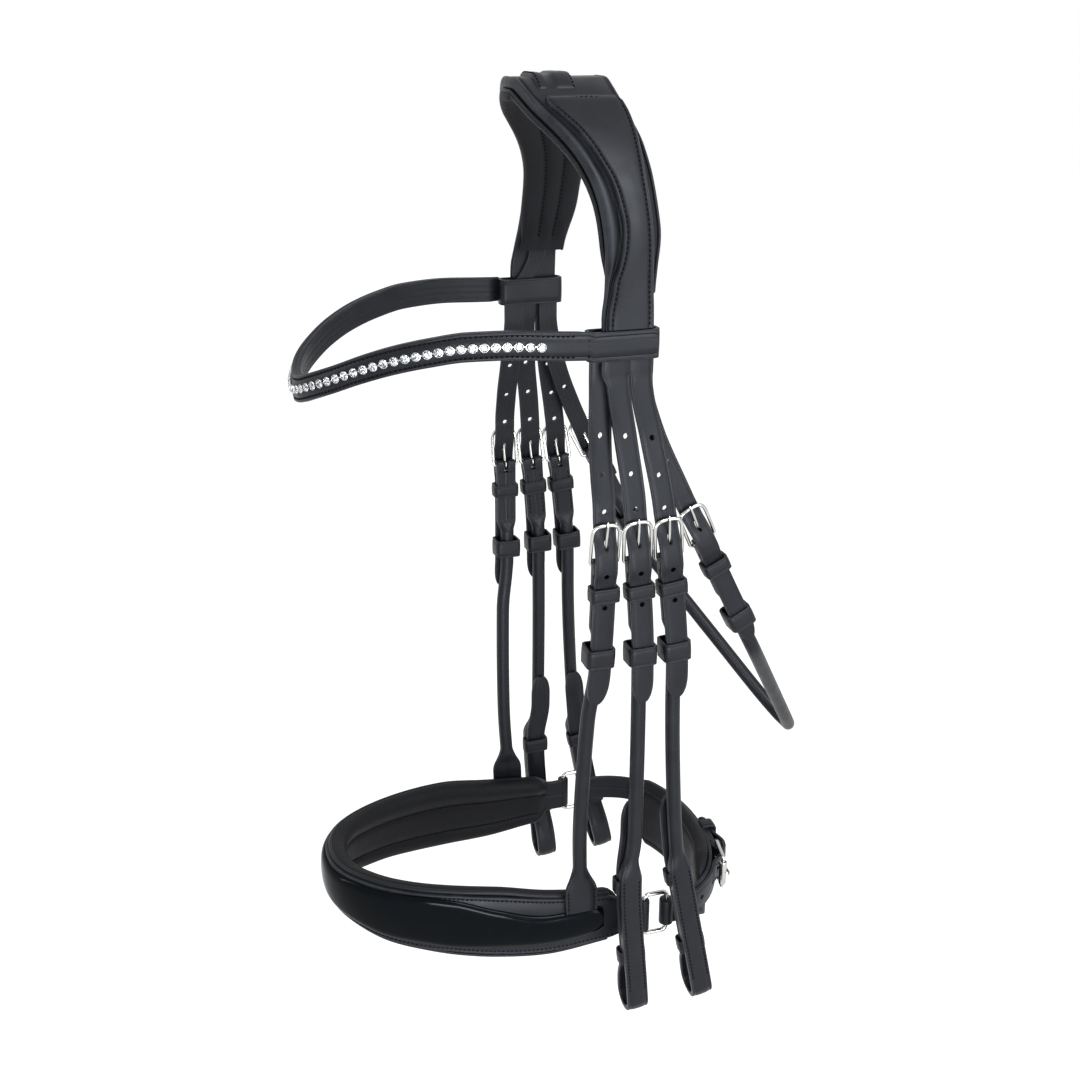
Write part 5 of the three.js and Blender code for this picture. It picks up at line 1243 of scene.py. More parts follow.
def loose_keeper(where, drop, half):
    """The sliding keeper, round the roll and the billet's end."""
    shape = Shape()
    low, high = -ROLL - ROLL_DEEP - GAP, stack()[2] + LEATHER + 2 * GAP
    keeper(shape, heel_frame(where, drop), 0, 11, half + 0.4, low, high, radius=1.6)
    return shape


# %% [markdown]
# ## Cheekpieces and hangers
# A cheekpiece starts as two layers folded round the heel bar and sewn. Below the keepers it is rolled: the leather
# is stitched round a cord. One grid carries the outline from flat to round and back to flat.

# %% Flat to round
def round_outline(profile, radius, deep):
    """Points of a circle in the order of a flat outline: the angle grows with the way along it."""
    rows = profile[0]
    x, y = rows[:, 0] * STRAP_HALF + rows[:, 1], rows[:, 2] * 4.0
    step = np.hypot(np.roll(x, -1) - x, np.roll(y, -1) - y)
    far = np.concatenate([[0], np.cumsum(step)[:-1]]) / step.sum()
    angle = 2 * math.pi * far
    radius = np.asarray(radius, float).reshape(-1, 1)
    return radius * np.cos(angle), radius * np.sin(angle) - deep


def morph(profile, half, low, high, radius, share, deep=ROLL_DEEP):
    """Outline between flat (share 0) and round (share 1) at every station."""
    flat_across, flat_out = outline(profile, half, low, high)
    round_across, round_out = round_outline(profile, radius, deep)
    share = np.asarray(share, float).reshape(-1, 1)
    return flat_across * (1 - share) + round_across * share, flat_out * (1 - share) + round_out * share


def chape_lugs(shape, place, half, wire=WIRE, slot=1.1):
    """The fold round the heel bar: two D-shaped rolls with the tongue's slot between them."""
    outer = wire + GAP + CHAPE / 2
    angle = np.radians(np.linspace(0, 180, 15))
    up = np.concatenate([outer * np.sin(angle), [-outer, -outer - 3, -outer - 3, -outer]])
    out = np.concatenate([-outer * np.cos(angle), [outer * 0.98, outer * 0.6, -outer * 0.9, -outer * 0.98]])
    line = even(np.stack([up, out], -1), 32, ring=True)
    for low, high in ((-half, -slot), (slot, half)):
        across = np.array([low, low + 0.12, low + 0.5, low + 1.2, (low + high) / 2, high - 1.2, high - 0.5,
                           high - 0.12, high])
        inset = np.array([0.5, 0.2, 0, 0, 0, 0, 0, 0.2, 0.5]) / outer
        ups = line[:, 0] * (1 - inset[:, None])
        outs = line[:, 1] * (1 - inset[:, None])
        shape.grid(put(place, ups, across[:, None] + 0 * ups, outs), worn=(inset[:, None] + 0 * ups) * 2)


CHEEK = {"flat": 430, "pinch": 492, "turn": 518, "radius": 8.0, "half": 6.5, "outer": 2.0, "inner": 4.0,
         "thick": 3.2, "tip": 384, "billet": 2.6, "near": 6.2, "back": 8.9, "keepers": (433, 483)}
# How far below the heel bar the two sewn layers end, and where their seams run
CHAPE_END, THROAT_CHAPE_END, CHAPE_ROWS = 45, 42, np.arange(8, 36, 1.0)


def chape_rows(heel, pace, half, end):
    """Stations, flat limits and roundness from the heel bar down to where the roll starts."""
    back, front, _, over = stack()
    drops = heel + np.concatenate([[over + WIRE], np.arange(over + WIRE + 2, end - 8, 2.2),
                                   np.linspace(end - 8, end, 9)]) / pace
    share = ease(drops, heel + (end - 8) / pace, heel + end / pace)
    ones = np.ones(len(drops))
    return drops, half * ones, back * ones, front * ones, share


# %% A cheekpiece
def bit_loop(where, middle):
    """Round the bit loop in a half circle and back up inside to the tip: origins, w, n, then across and out."""
    o, t, w, n = (v.reshape(3) for v in where(np.array(float(CHEEK["turn"]))))
    angle = np.radians(np.linspace(0, 180, 26))[:, None]
    bend = CHEEK["radius"]
    turn_o = o + n * (middle - bend + bend * np.cos(angle)) + t * bend * np.sin(angle)
    turn_n = n * np.cos(angle) + t * np.sin(angle)
    climb = np.concatenate([np.arange(CHEEK["turn"] - 2, CHEEK["tip"] + POINT, -2.2), -point_rows(-CHEEK["tip"])])
    depth = [[380, -CHEEK["back"]], [406, -CHEEK["back"]], [442, -CHEEK["near"]], [467, -CHEEK["near"]],
             [486, -CHEEK["near"]], [506, -14.0], [515, -15.5], [518, middle - 2 * bend]]
    up_o, _, up_w, up_n = where(climb)
    up_o = up_o + smooth(depth, climb)[:, None] * up_n
    ones = np.ones(len(angle))
    half = CHEEK["half"] * np.concatenate([ones, point_share(-climb, -CHEEK["tip"])])
    thick = CHEEK["thick"] + (CHEEK["billet"] - CHEEK["thick"]) * ease(-climb, -510, -495)
    thick = np.concatenate([CHEEK["thick"] * ones, thick])
    return (np.concatenate([turn_o, up_o]), np.concatenate([np.broadcast_to(w, turn_o.shape), up_w]),
            np.concatenate([turn_n, -up_n]), *outline(SEWN_BAND, half, -thick / 2, thick / 2))


def cheek_strap(name):
    """Fold, roll and bit loop as one grid: down the outside, round the loop and up inside to the billet's tip."""
    where = route(name)
    place = heel_frame(where, HEEL)
    shape = Shape()
    half = STRAP_HALF
    drops, halves, lows, highs, share = chape_rows(HEEL, 1.0, half, CHAPE_END)
    roll = np.arange(HEEL + 48, CHEEK["flat"] - 13, 4.0)
    lower = np.concatenate([np.linspace(CHEEK["flat"] - 13, CHEEK["flat"] + 2, 11),
                            np.arange(CHEEK["flat"] + 4, CHEEK["turn"] - 1, 2.2)])
    down = np.concatenate([drops, roll, lower])
    rest = len(roll) + len(lower)
    share = np.concatenate([share, np.ones(len(roll)), 1 - ease(lower, CHEEK["flat"] - 12, CHEEK["flat"] + 1)])
    halves = np.concatenate([halves, np.full(rest, CHEEK["half"])])
    middle = CHEEK["outer"] - CHEEK["thick"] / 2
    pinch = ease(lower, CHEEK["pinch"] - 10, CHEEK["pinch"] + 1)
    low_end = -CHEEK["inner"] + (CHEEK["outer"] - CHEEK["thick"] + CHEEK["inner"]) * pinch
    lows = np.concatenate([lows, np.full(len(roll), -CHEEK["inner"]), low_end])
    highs = np.concatenate([highs, np.full(rest, CHEEK["outer"])])
    o, _, w, n = where(down)
    flat = (o, w, n, *morph(SEWN_BAND, halves, lows, highs, np.full(len(down), ROLL), share))
    o, w, n, across, out = (np.concatenate(pair) for pair in zip(flat, bit_loop(where, middle)))
    shape.grid(skin((o, None, w, n), across, out), worn=SEWN_BAND[0][:, 4])
    chape_lugs(shape, place, half)
    fixed_keeper(shape, place, half)
    for drop in CHEEK["keepers"]:
        local = heel_frame(where, drop + 4.5)
        keeper(shape, local, 0, 9, CHEEK["half"] + 0.4, -CHEEK["near"] - 2.8, -CHEEK["inner"] + 1.0)
    rows = np.arange(CHEEK["flat"] + 2, CHEEK["turn"] - 7, 1.0)
    back, front = stack()[:2]
    for side in (-1, 1):
        seam_on(shape, where, rows, side * (CHEEK["half"] - EDGE_SEAM), CHEEK["outer"] - SEAM_DEEP)
        seam_on(shape, where, HEEL + CHAPE_ROWS, side * (half - EDGE_SEAM), front - SEAM_DEEP)
        seam_on(shape, where, HEEL + CHAPE_ROWS, side * (half - EDGE_SEAM), back + 0.05)
    return shape


# %% A hanger
# The hanger's foot lies flat on the noseband: how far out it lies, its thickness, and where the roll opens into it
FOOT = {"face": 75.2, "thick": 2.6, "top": 428, "flat": 443}


def hanger_strap():
    """Fold, roll and foot as one grid; the foot's face stays upright while the strap leans."""
    where = route("hanger")
    place = heel_frame(where, HEEL)
    shape = Shape()
    half = STRAP_HALF
    drops, halves, lows, highs, share = chape_rows(HEEL, 1.0, half, CHAPE_END)
    top, flat = FOOT["top"], FOOT["flat"]
    roll = np.arange(HEEL + 48, top, 4.0)
    foot = np.concatenate([np.linspace(top, flat, 10), np.arange(flat + 2, 460.1, 1.5)])
    down = np.concatenate([drops, roll, foot])
    rest = len(roll) + len(foot)
    share = np.concatenate([share, np.ones(len(roll)), 1 - ease(foot, top + 1, flat)])
    face = FOOT["face"] - where(down)[0][:, 0]
    grow = 8 + 2 * ease(foot, 436, 447)
    halves = np.concatenate([halves, np.full(len(roll), half), grow])
    is_foot = ease(down, 380, top + 1)
    lows = np.concatenate([lows, np.full(rest, -4.0)]) * (1 - is_foot) + face * is_foot
    highs = np.concatenate([highs, np.full(rest, 1.0)]) * (1 - is_foot) + (face + FOOT["thick"]) * is_foot
    across, out = morph(SEWN_BAND, halves, lows, highs, np.full(len(down), ROLL), share)
    shape.grid(skin(where(down), across, out), worn=SEWN_BAND[0][:, 4])
    chape_lugs(shape, place, half)
    fixed_keeper(shape, place, half)
    rows = np.arange(flat + 2, 459, 1.0)
    for side in (-1, 1):
        seam_on(shape, where, HEEL + CHAPE_ROWS, side * (half - EDGE_SEAM), stack()[1] - SEAM_DEEP)
        seam_on(shape, where, rows, side * 8.2, FOOT["face"] + 2.45 - where(rows)[0][:, 0])
    return shape


# %% The hook stud
def hook_stud(name):
    """The stud that holds the inner billet: a post with a flat domed head, turned round the line through it."""
    o, t, w, n = (v.reshape(3) for v in route(name)(np.array(467.0)))
    back = CHEEK["near"] + CHEEK["billet"] / 2
    levels = np.array([[CHEEK["inner"] + 0.3, 0.9], [back + 0.1, 1.1], [back + 0.35, 1.5], [back + 0.45, 2.4],
                       [back + 0.8, 2.75], [back + 1.3, 2.6], [back + 1.8, 1.9], [back + 2.1, 1.0],
                       [back + 2.18, 0.3]])
    angle = np.arange(24) * 2 * math.pi / 24
    ring = (o - levels[:, :1] * n)[:, None] + levels[:, 1][:, None, None] * (
        np.cos(angle)[:, None] * w + np.sin(angle)[:, None] * t)
    shape = Shape()
    shape.grid(ring)
    return shape


# %% Put the cheekpieces and hangers together
def both_sides(stem, ending, shape, finishes, body):
    """Makes the near piece and its mirror image, each standing for the CAD node of the same name."""
    for side, own in (("near", shape), ("off", shape.mirrored())):
        name = f"{stem}_{side}{ending}"
        piece = own.make(name + "_made", finishes)
        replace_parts(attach(piece, body.format(side)), name)


for name in ("front", "rear", "hanger", "throat"):
    where = route(name)
    heel, half = (THROAT_HEEL, THROAT_HALF) if name == "throat" else (HEEL, STRAP_HALF)
    place = heel_frame(where, heel)
    stem = {"front": "cheek_front", "rear": "cheek_rear"}.get(name, name)
    body = CARRIED[name]
    wire_frame = buckle_frame(place, BUCKLE["half"], BUCKLE_LONG, WIRE, BUCKLE["shoulder"], BUCKLE["bow"],
                              BUCKLE["rise"])
    both_sides(stem, "_buckle", wire_frame, [STEEL], body)
    tongue = buckle_tongue(place, BUCKLE_LONG, WIRE, BUCKLE["rise"], BUCKLE_LONG + 2 * WIRE, BUCKLE["tongue"],
                           WIRE, GAP)
    both_sides(stem, "_tongue", tongue, [STEEL], f"{stem}_{{}}_tongue")
    slide = (44 if name == "throat" else 50) + 5.5
    both_sides(stem, "_keeper", loose_keeper(where, heel + slide, half), LEATHER_SET,
               f"{stem}_{{}}_keeper")
for name in ("front", "rear"):
    both_sides(f"cheek_{name}", "_strap", cheek_strap(name), LEATHER_SET, CARRIED[name])
    both_sides(f"cheek_{name}", "_stud", hook_stud(name), [STEEL], CARRIED[name])
both_sides("hanger", "_strap", hanger_strap(), LEATHER_SET, "noseband")

# %% [markdown]
# ## Browband
# The browband is a padded strip sewn along both edges. It dips over the forehead in a wave and ends in a loop on
# each side, through which the headpiece runs. Seen from above it is half a superellipse: x = half * sin(turn)^p
# and y = start - reach * cos(turn)^p.

# %% A plan curve round the head
def plan(half, reach, start, curve):
    """Frames round the head at turns in degrees from the front; extra runs straight back from the sides."""
    def spot(turn):
        angle = np.radians(np.clip(turn, -90, 90))
        x = half * np.sign(angle) * np.abs(np.sin(angle)) ** (2 / curve)
        return np.stack([x, start - reach * np.abs(np.cos(angle)) ** (2 / curve), 0 * x], -1)

    def where(turn, drop, extra=0.0):
        turn, drop, extra = np.broadcast_arrays(*(np.asarray(v, float) for v in (turn, drop, extra)))
        o = spot(turn)
        t = unit(spot(np.clip(turn + 0.5, -89.9, 89.9)) - spot(np.clip(turn - 0.5, -89.9, 89.9)))
        t = np.where((np.abs(turn) > 89.85)[..., None], np.sign(turn)[..., None] * [0, 1.0, 0], t)
        n = np.stack([t[..., 1], -t[..., 0], 0 * turn], -1)
        o = np.stack([o[..., 0], o[..., 1] + extra, -drop], -1)
        return o, t, np.broadcast_to([0.0, 0, 1], o.shape), n

    def turns(last, step):
        """Turns from -last to last at even distances of about one step."""
        fine = np.linspace(-last, last, 2001)
        far = distances(spot(fine))
        return np.interp(np.linspace(0, far[-1], int(far[-1] / step) + 1), far, fine)
    return where, turns


BROW = {"end": 116.0, "dip": 30.0, "half": 7.4, "wall": 1.8, "front": -10.2, "rear": 25.8, "high": 15.5,
        "seam": -12.2, "last": 82.7}
DIP = [[0, 0], [0.13, -0.05], [0.25, -0.1], [0.34, -0.08], [0.43, 0.02], [0.52, 0.16], [0.62, 0.36], [0.73, 0.6],
       [0.84, 0.8], [0.93, 0.94], [1, 1]]
brow_where, brow_turns = plan(83, 159.5, 11, 2.1)


def brow_drop(turn):
    """Drop of the band's middle line: it dips over the forehead."""
    return BROW["end"] + BROW["dip"] * smooth(DIP, 1 - np.abs(turn) / 90)


def brow_face(turn):
    """How far out the band's face lies: 2.5 mm, and 0.75 mm less where the loops start."""
    return 2.5 - 0.75 * ease(np.abs(turn), 74, BROW["last"])


# %% The strip and its loops
BROW_BAND = band(corner=1.0, crease=2.1, deep=0.42, wide=0.6, camber=0.5, layers=0.3, hole=2.4, back=0.15)


def browband():
    """One strip from tab to tab, a folded loop at each end, and seams along both edges."""
    shape = Shape()
    turns = brow_turns(BROW["last"], 2.6)
    back = np.array([-9.5, -7.5, -4, 0, 4, 8, 12, 16, 20, 23.5, 25.2])
    o, t, w, n = brow_where(turns, brow_drop(turns))
    low = -2.6 + 2.4 * (1 - ease(-o[:, 1], 11.5, 18))
    across, out = outline(BROW_BAND, np.full(len(turns), BROW["half"]), low, brow_face(turns))
    main = skin((o, t, w, n), across, out)
    side = np.zeros((len(back), 3))
    side[:, 0], side[:, 1], side[:, 2] = BROW_HALF, back, -BROW["end"]
    axes = (side, None, np.tile([0.0, 0, 1], (len(back), 1)), np.tile([1.0, 0, 0], (len(back), 1)))
    tall = np.full(len(back), BROW["half"])
    tall[-1] -= 0.5
    across, out = outline(BROW_BAND, tall, np.full(len(back), 0.7), np.full(len(back), 2.6))
    tab = skin(axes, across, out)
    shape.grid(np.concatenate([tab[::-1] * [-1, 1, 1], main, tab]), worn=BROW_BAND[0][:, 4])
    place = (np.array([BROW_HALF, 0.5 * (BROW["front"] + BROW["rear"]), -BROW["end"]]), np.array([0, 0, 1.0]),
             np.array([0, 1.0, 0]), np.array([1.0, 0, 0]))
    loops = Shape()
    keeper(loops, place, 0, BROW["high"], 0.5 * (BROW["rear"] - BROW["front"]), -6.6, GAP, wall=BROW["wall"],
           radius=1.9)
    tall = np.linspace(-5.2, 5.2, 12)
    line = np.stack([np.full(12, BROW_HALF + 2.62), np.full(12, BROW["seam"]), tall - BROW["end"]], -1)
    seam(loops, line, np.tile([1.0, 0, 0], (12, 1)))
    shape.add(loops)
    shape.add(loops.mirrored())
    fine = brow_turns(80, 1.3)
    o, _, w, n = brow_where(fine, brow_drop(fine))
    rise = brow_face(fine) - 0.3
    for line in (-1, 1):
        seam(shape, o + line * (BROW["half"] - 2.1) * w + rise[:, None] * n, n)
    return shape


piece = browband().make("browband_leather", LEATHER_SET)
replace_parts(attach(piece, "browband"), "browband")

# %% [markdown]
# ## Crystal chain
# Round brilliants sit in silver cups with four claws, linked edge to edge like a cup chain and sewn down between
# the stones. The facets stay sharp, so the stones are a mesh of their own.

# %% Cups and stones
CUP = {"pitch": 5.7, "radius": 2.5, "base": 2.8, "high": 2.0}


def chain_places():
    """Frames at even distances along the band's middle line, from the front out to both sides."""
    fine = np.linspace(0, 75.15, 3000)
    far = distances(brow_where(fine, brow_drop(fine))[0])
    turn = np.interp(np.arange(0, far[-1], CUP["pitch"]), far, fine)
    turn = np.concatenate([-turn[:0:-1], turn])
    o, _, _, n = brow_where(turn, brow_drop(turn))
    a, b = brow_where(turn - 0.3, brow_drop(turn - 0.3))[0], brow_where(turn + 0.3, brow_drop(turn + 0.3))[0]
    t = unit(b - a)
    return o, t, np.cross(n, t), n


def turned(levels, sides, places, twist=0.0, ripple=None):
    """Rings of radius r at heights z over every place, (J, R, K, 3); ripple scales every second column's radius."""
    o, t, w, n = (v[:, None, None] for v in places)
    angle = (np.arange(sides) + twist) * 2 * math.pi / sides
    r = levels[:, 1][:, None] * (np.ones(sides) if ripple is None else 1 + ripple[:, None] * (np.arange(sides) % 2))
    return o + (r * np.cos(angle))[None, ..., None] * t + (r * np.sin(angle))[None, ..., None] * w + (
        levels[:, 0][None, :, None, None] * n)


def crystal_chain():
    """Cups, claws and links as one shape of silver, and the cut stones as another."""
    places = chain_places()
    o, t, w, n = places
    base, r = CUP["base"], CUP["radius"]
    cups, stones = Shape(), Shape()
    cup = np.array([[base - 0.2, 0.5], [base - 0.2, 1.9], [base, 2.15], [base + 0.5, 2.3], [base + 1.25, r - 0.1],
                    [base + 1.4, r - 0.14], [base + 1.42, r - 0.3], [base + 1.2, r - 0.42], [base + 1.15, 0.5]])
    cups.beads(turned(cup, 20, places), 0)
    for angle in np.radians([45, 135, 225, 315]):
        out = math.cos(angle) * t + math.sin(angle) * w
        spot = (o + out * (r - 0.34), np.cross(n, out), out, n)
        claw = np.array([[base + 0.7, 0.3], [base + 1.4, 0.34], [base + 1.66, 0.36], [base + 1.84, 0.24],
                         [base + 1.9, 0.08]])
        lean = turned(claw, 8, spot)
        inward = np.array([0, 0, 0.1, 0.24, 0.3])
        cups.beads(lean - inward[None, :, None, None] * out[:, None, None], 0)
    middle = 0.5 * (o[1:] + o[:-1])
    along = unit(o[1:] - o[:-1])
    link = np.array([[-0.55, 0.4], [-0.45, 0.5], [0.45, 0.5], [0.55, 0.4]])
    places_link = (middle + n[1:] * (base + 0.5), w[1:], n[1:], along)
    cups.beads(turned(link, 8, places_link), 0)
    cut = np.array([[base + 0.3, 0.4], [base + 1.22, r - 0.42], [base + 1.38, r - 0.4], [base + 1.62, 1.75],
                    [base + 2.0, 1.28], [base + 2.02, 0.3]])
    stones.beads(turned(cut, 16, places, 0.5, np.array([0, 0, 0, -0.05, -0.08, 0])), 0)
    return cups, stones


cups, stones = crystal_chain()
piece = cups.make("chain_cups", [SILVER])
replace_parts(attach(piece, "browband"), "crystal_chain")
piece = stones.make("chain_stones", [STONE], sharp=6)
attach(piece, "browband")

# %% [markdown]
# ## Throat lash
# The throat lash hangs from a buckle on each side. Below the two buckles it is one rolled strap that passes under
# the throat.

# %% A curve through given points
def through(points, step):
    """Catmull-Rom cubic through the points, read off at even steps."""
    points = np.asarray(points, float)
    padded = np.concatenate([[2 * points[0] - points[1]], points, [2 * points[-1] - points[-2]]])
    far = distances(padded)
    tangent = (padded[2:] - padded[:-2]) / (far[2:] - far[:-2])[:, None]
    u = np.linspace(0, 1, 40)[None, :, None]
    span = (far[2:-1] - far[1:-2])[:, None, None]
    p, q = points[:-1, None], points[1:, None]
    a, b = tangent[:-1, None] * span, tangent[1:, None] * span
    line = p + u * (a + u * (3 * (q - p) - 2 * a - b + u * (a + b - 2 * (q - p))))
    line = line.reshape(-1, 3)
    keep = np.concatenate([[True], np.linalg.norm(np.diff(line, axis=0), axis=1) > 1e-6])
    line = line[keep]
    return even(line, max(3, int(distances(line)[-1] / step)))


# %% The throat strap
THROAT_ROLL, THROAT_LOW = 4.2, (0, 163, -402)


def throat_strap():
    """Both folds and the roll between them as one grid: the near half, then its mirror image."""
    where = route("throat")
    place = heel_frame(where, THROAT_HEEL)
    pace = pace_at(where, THROAT_HEEL)
    half = THROAT_HALF
    drops, halves, lows, highs, share = chape_rows(THROAT_HEEL, pace, half, THROAT_CHAPE_END)
    across, out = morph(SEWN_BAND, halves, lows, highs, np.full(len(drops), THROAT_ROLL), share)
    top = skin(where(drops), across, out)
    start = where(np.array(300.0))[0]
    strand = np.array([22, 151, -386.0])
    spots = [where(np.array(THROAT_HEEL + THROAT_CHAPE_END / pace))[0], where(np.array(289.0))[0], start,
             start + 0.3 * (strand - start), start + 0.65 * (strand - start), strand, [9, 160.5, -399],
             THROAT_LOW, [-9, 160.5, -399], -strand * [1, -1, -1]]
    line = through(np.array([np.asarray(s, float) for s in spots]), 3.5)
    line = line[line[:, 0] >= -0.2][2:]
    line[-1] = THROAT_LOW
    axis = unit(np.array([0, 176.0, 109.0]))
    t = unit(np.gradient(line, axis=0))
    t[-1] = [-1, 0, 0]
    w = unit(axis - t * (t @ axis)[:, None])
    n = np.cross(t, w)
    across, out = round_outline(SEWN_BAND, np.full(len(line), THROAT_ROLL), ROLL_DEEP)
    roll = skin((line, t, w, n), across, out)
    near = np.concatenate([top, roll])
    shape = Shape()
    shape.grid(np.concatenate([near, near[-2::-1] * [-1, 1, 1]]), worn=SEWN_BAND[0][:, 4])
    ends = Shape()
    chape_lugs(ends, place, half)
    fixed_keeper(ends, place, half)
    for side in (-1, 1):
        seam_on(ends, where, THROAT_HEEL + np.arange(8, 33, 1.0) / pace, side * (half - EDGE_SEAM),
                stack()[1] - SEAM_DEEP)
    shape.add(ends)
    shape.add(ends.mirrored())
    return shape


piece = throat_strap().make("throat_lash_strap", LEATHER_SET)
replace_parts(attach(piece, "throat_lash"), "throat_strap")

# %% [markdown]
# ## Noseband
# The noseband has three layers. Outside is a panel of patent leather over a firm core, then a band of bridle
# leather whose stitched edge shows all round, and inside a soft pad with a thick roll along its top. A thin
# piping closes the join of band and pad.

# %% Noseband curves
NOSE_DROPS = [[0, 438, 440, 443, 465, 467, 470], [0.25, 438, 440, 442, 469, 472, 475],
              [0.4, 439, 441, 443, 473.5, 477, 480], [0.52, 440, 442, 443.5, 475.5, 480, 483],
              [0.62, 441, 443, 445.5, 478, 482, 486], [0.74, 443, 445.5, 453.5, 479.5, 485, 489],
              [0.87, 449, 450.5, 461, 481, 487, 491], [1, 454, 455, 459, 478, 485, 488]]
NOSE_HALF, NOSE_START = 75.5, 8.0
RING_AT = {"x": 76.0, "front": 30.5, "deep": 15.0, "half": 13.8, "drop": 472.0, "wire": 1.4, "corner": 3.4}
nose_where, nose_turns = plan(NOSE_HALF, 157.5, NOSE_START, 2.2)


def nose_drop(turn, column):
    """Drop of one edge: columns 1 to 6 are the pad, band and patent panel from the top, then back down."""
    return smooth(NOSE_DROPS, np.abs(turn) / 90, column)


def nose_rows(first, last, back, step=2.6):
    """Turns round the nose, then straight back: turns, extras, and the drops of two columns of the table."""
    turns = nose_turns(90, step)
    ends = np.arange(step, back + 0.1, step)
    turns = np.concatenate([np.full(len(ends), -90.0), turns, np.full(len(ends), 90.0)])
    extra = np.concatenate([ends[::-1], np.zeros(len(turns) - 2 * len(ends)), ends])
    return turns, extra, nose_drop(turns, first), nose_drop(turns, last)


# %% The band and the patent panel
TAB_TOP, TAB_LOW = 461.25, 482.75


def band_rows(back, step=2.6):
    """Rows of the leather band: behind the cheek its edges run together into a tab that folds round the ring."""
    turns, extra, high, low = nose_rows(2, 5, back, step)
    tab = ease(extra, 0, 12)
    return turns, extra, high + (TAB_TOP - high) * tab, low + (TAB_LOW - low) * tab


def folds(shape, behind, tall, slim):
    """Leather folded round the upright bars of both rings: circles of radii slim at heights tall."""
    turn = np.radians(np.linspace(0, 360, 24, endpoint=False))
    ring = np.stack([np.cos(turn), np.sin(turn), 0 * turn], -1)
    for side in (-1, 1):
        centre = np.array([RING_AT["x"] * side, behind, -RING_AT["drop"]])
        shape.grid(centre + slim[:, None, None] * ring + tall[:, None, None] * [0, 0, 1.0])


def noseband_leather():
    """The band with its two seams, the piping along both edges of the pad, and the folds round the rings."""
    shape = Shape()
    turns, extra, high, low = band_rows(21.0)
    across, out = outline(SEWN_BAND, (low - high) / 2, np.full(len(turns), -3.6), np.full(len(turns), -0.6))
    shape.grid(skin(nose_where(turns, (low + high) / 2, extra), across, out), worn=SEWN_BAND[0][:, 4])
    turns, extra, high, low = band_rows(19.5, 1.3)
    for line in (high + 1.9, low - 1.9):
        o, _, w, n = nose_where(turns, line, extra)
        seam(shape, o - 0.85 * n, n)
    for column, inset, radius in ((1, 1.1, 1.35), (6, -1.0, 1.1)):
        turns = nose_turns(90, 3.0)
        o, _, w, n = nose_where(turns, nose_drop(turns, column) + inset)
        bar(shape, o - 3.95 * n, radius, w, sides=12)
    tall = np.array([-10.75, -10.4, -9.6, 0, 9.6, 10.4, 10.75])
    folds(shape, RING_AT["front"], tall, np.array([3.0, 3.45, 3.6, 3.6, 3.6, 3.45, 3.0]))
    return shape


def noseband_patent():
    """Crowned panel: 0.6 of its height is a quarter round 4.6 mm wide at the edges, and 0.4 a dome 1 - u^2."""
    shape = Shape()
    turns = nose_turns(89, 2.4)
    high, low = nose_drop(turns, 3), nose_drop(turns, 4)
    inset = 2.2 * (1 - quarter_round((89 - np.abs(turns)) / 3.2))
    half = (low - high) / 2 - inset
    u = np.concatenate([[1.0, 1.0], np.cos(np.radians(np.linspace(6, 174, 33))), [-1.0, -1.0]])
    edge = (1 - np.abs(u))[None] * half[:, None]
    swell = 0.6 * quarter_round(edge / 4.6) + 0.4 * (1 - u[None] ** 2)
    top = -0.1 + 2.9 * swell
    top[:, 0], top[:, -1] = -0.3, -0.3
    across = u[None] * half[:, None]
    under = np.full_like(across, -0.55)
    shape.grid(two_faces(nose_where(turns, (low + high) / 2), across, top, under))
    return shape


piece = noseband_leather().make("noseband_band", LEATHER_SET)
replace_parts(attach(piece, "noseband"), "noseband_leather")
piece = noseband_patent().make("noseband_patent_panel", [PATENT])
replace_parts(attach(piece, "noseband"), "noseband_patent")

# %% The pad inside the noseband
PAD_LINE = [[0.04, 0], [0.0, 0.14], [-0.005, 0.38], [0.02, 0.72], [0.08, 0.95], [0.165, 1.02], [0.245, 0.94],
            [0.3, 0.8], [0.335, 0.64], [0.352, 0.52], [0.372, 0.57], [0.42, 0.65], [0.5, 0.67], [0.6, 0.67],
            [0.69, 0.66], [0.745, 0.6], [0.77, 0.5], [0.795, 0.56], [0.85, 0.68], [0.92, 0.7], [0.975, 0.58],
            [1.005, 0.36], [1.0, 0.14], [0.96, 0]]
NOSE_PAD = {"outer": -3.9, "thick": 9.5}


def noseband_pad():
    """PAD_LINE's rows (share of height, share of depth) are the profile; it closes over the last 6 mm of the ends."""
    shape = Shape()
    line = through(np.array([[u, d, 0] for u, d in PAD_LINE]), 0.02)[:, :2]
    line = line[:len(line) // 2 * 2]
    flat_u = np.linspace(0.955, 0.045, len(line))
    profile = np.concatenate([line, np.stack([flat_u, 0 * flat_u], -1)])
    turns, extra, high, low = nose_rows(1, 6, 9.3, 2.6)
    slim = 1 - 0.55 * ease(extra, 0, 9.5)
    short = 1 - 0.25 * ease(extra, 0, 9.5)
    close = np.sqrt(np.clip(1 - (np.clip(extra - 4, 0, None) / 6.2) ** 2, 0.04, 1))
    middle, tall = (low + high) / 2, (low - high) * short * close
    across = (0.5 - profile[:, 0])[None] * tall[:, None]
    out = NOSE_PAD["outer"] - profile[:, 1][None] * NOSE_PAD["thick"] * (slim * close)[:, None]
    shape.grid(skin(nose_where(turns, middle, extra), across, out))
    fine, extra, high, low = nose_rows(1, 6, 2.0, 1.3)
    tall = low - high
    for u, d in ((0.353, 0.54), (0.77, 0.52)):
        o, _, w, n = nose_where(fine, high + u * tall, extra)
        seam(shape, o + (NOSE_PAD["outer"] - d * NOSE_PAD["thick"]) * n, -n)
    return shape


piece = noseband_pad().make("noseband_lining", [LINING_LEATHER, THREAD])
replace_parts(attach(piece, "noseband"), "noseband_pad")

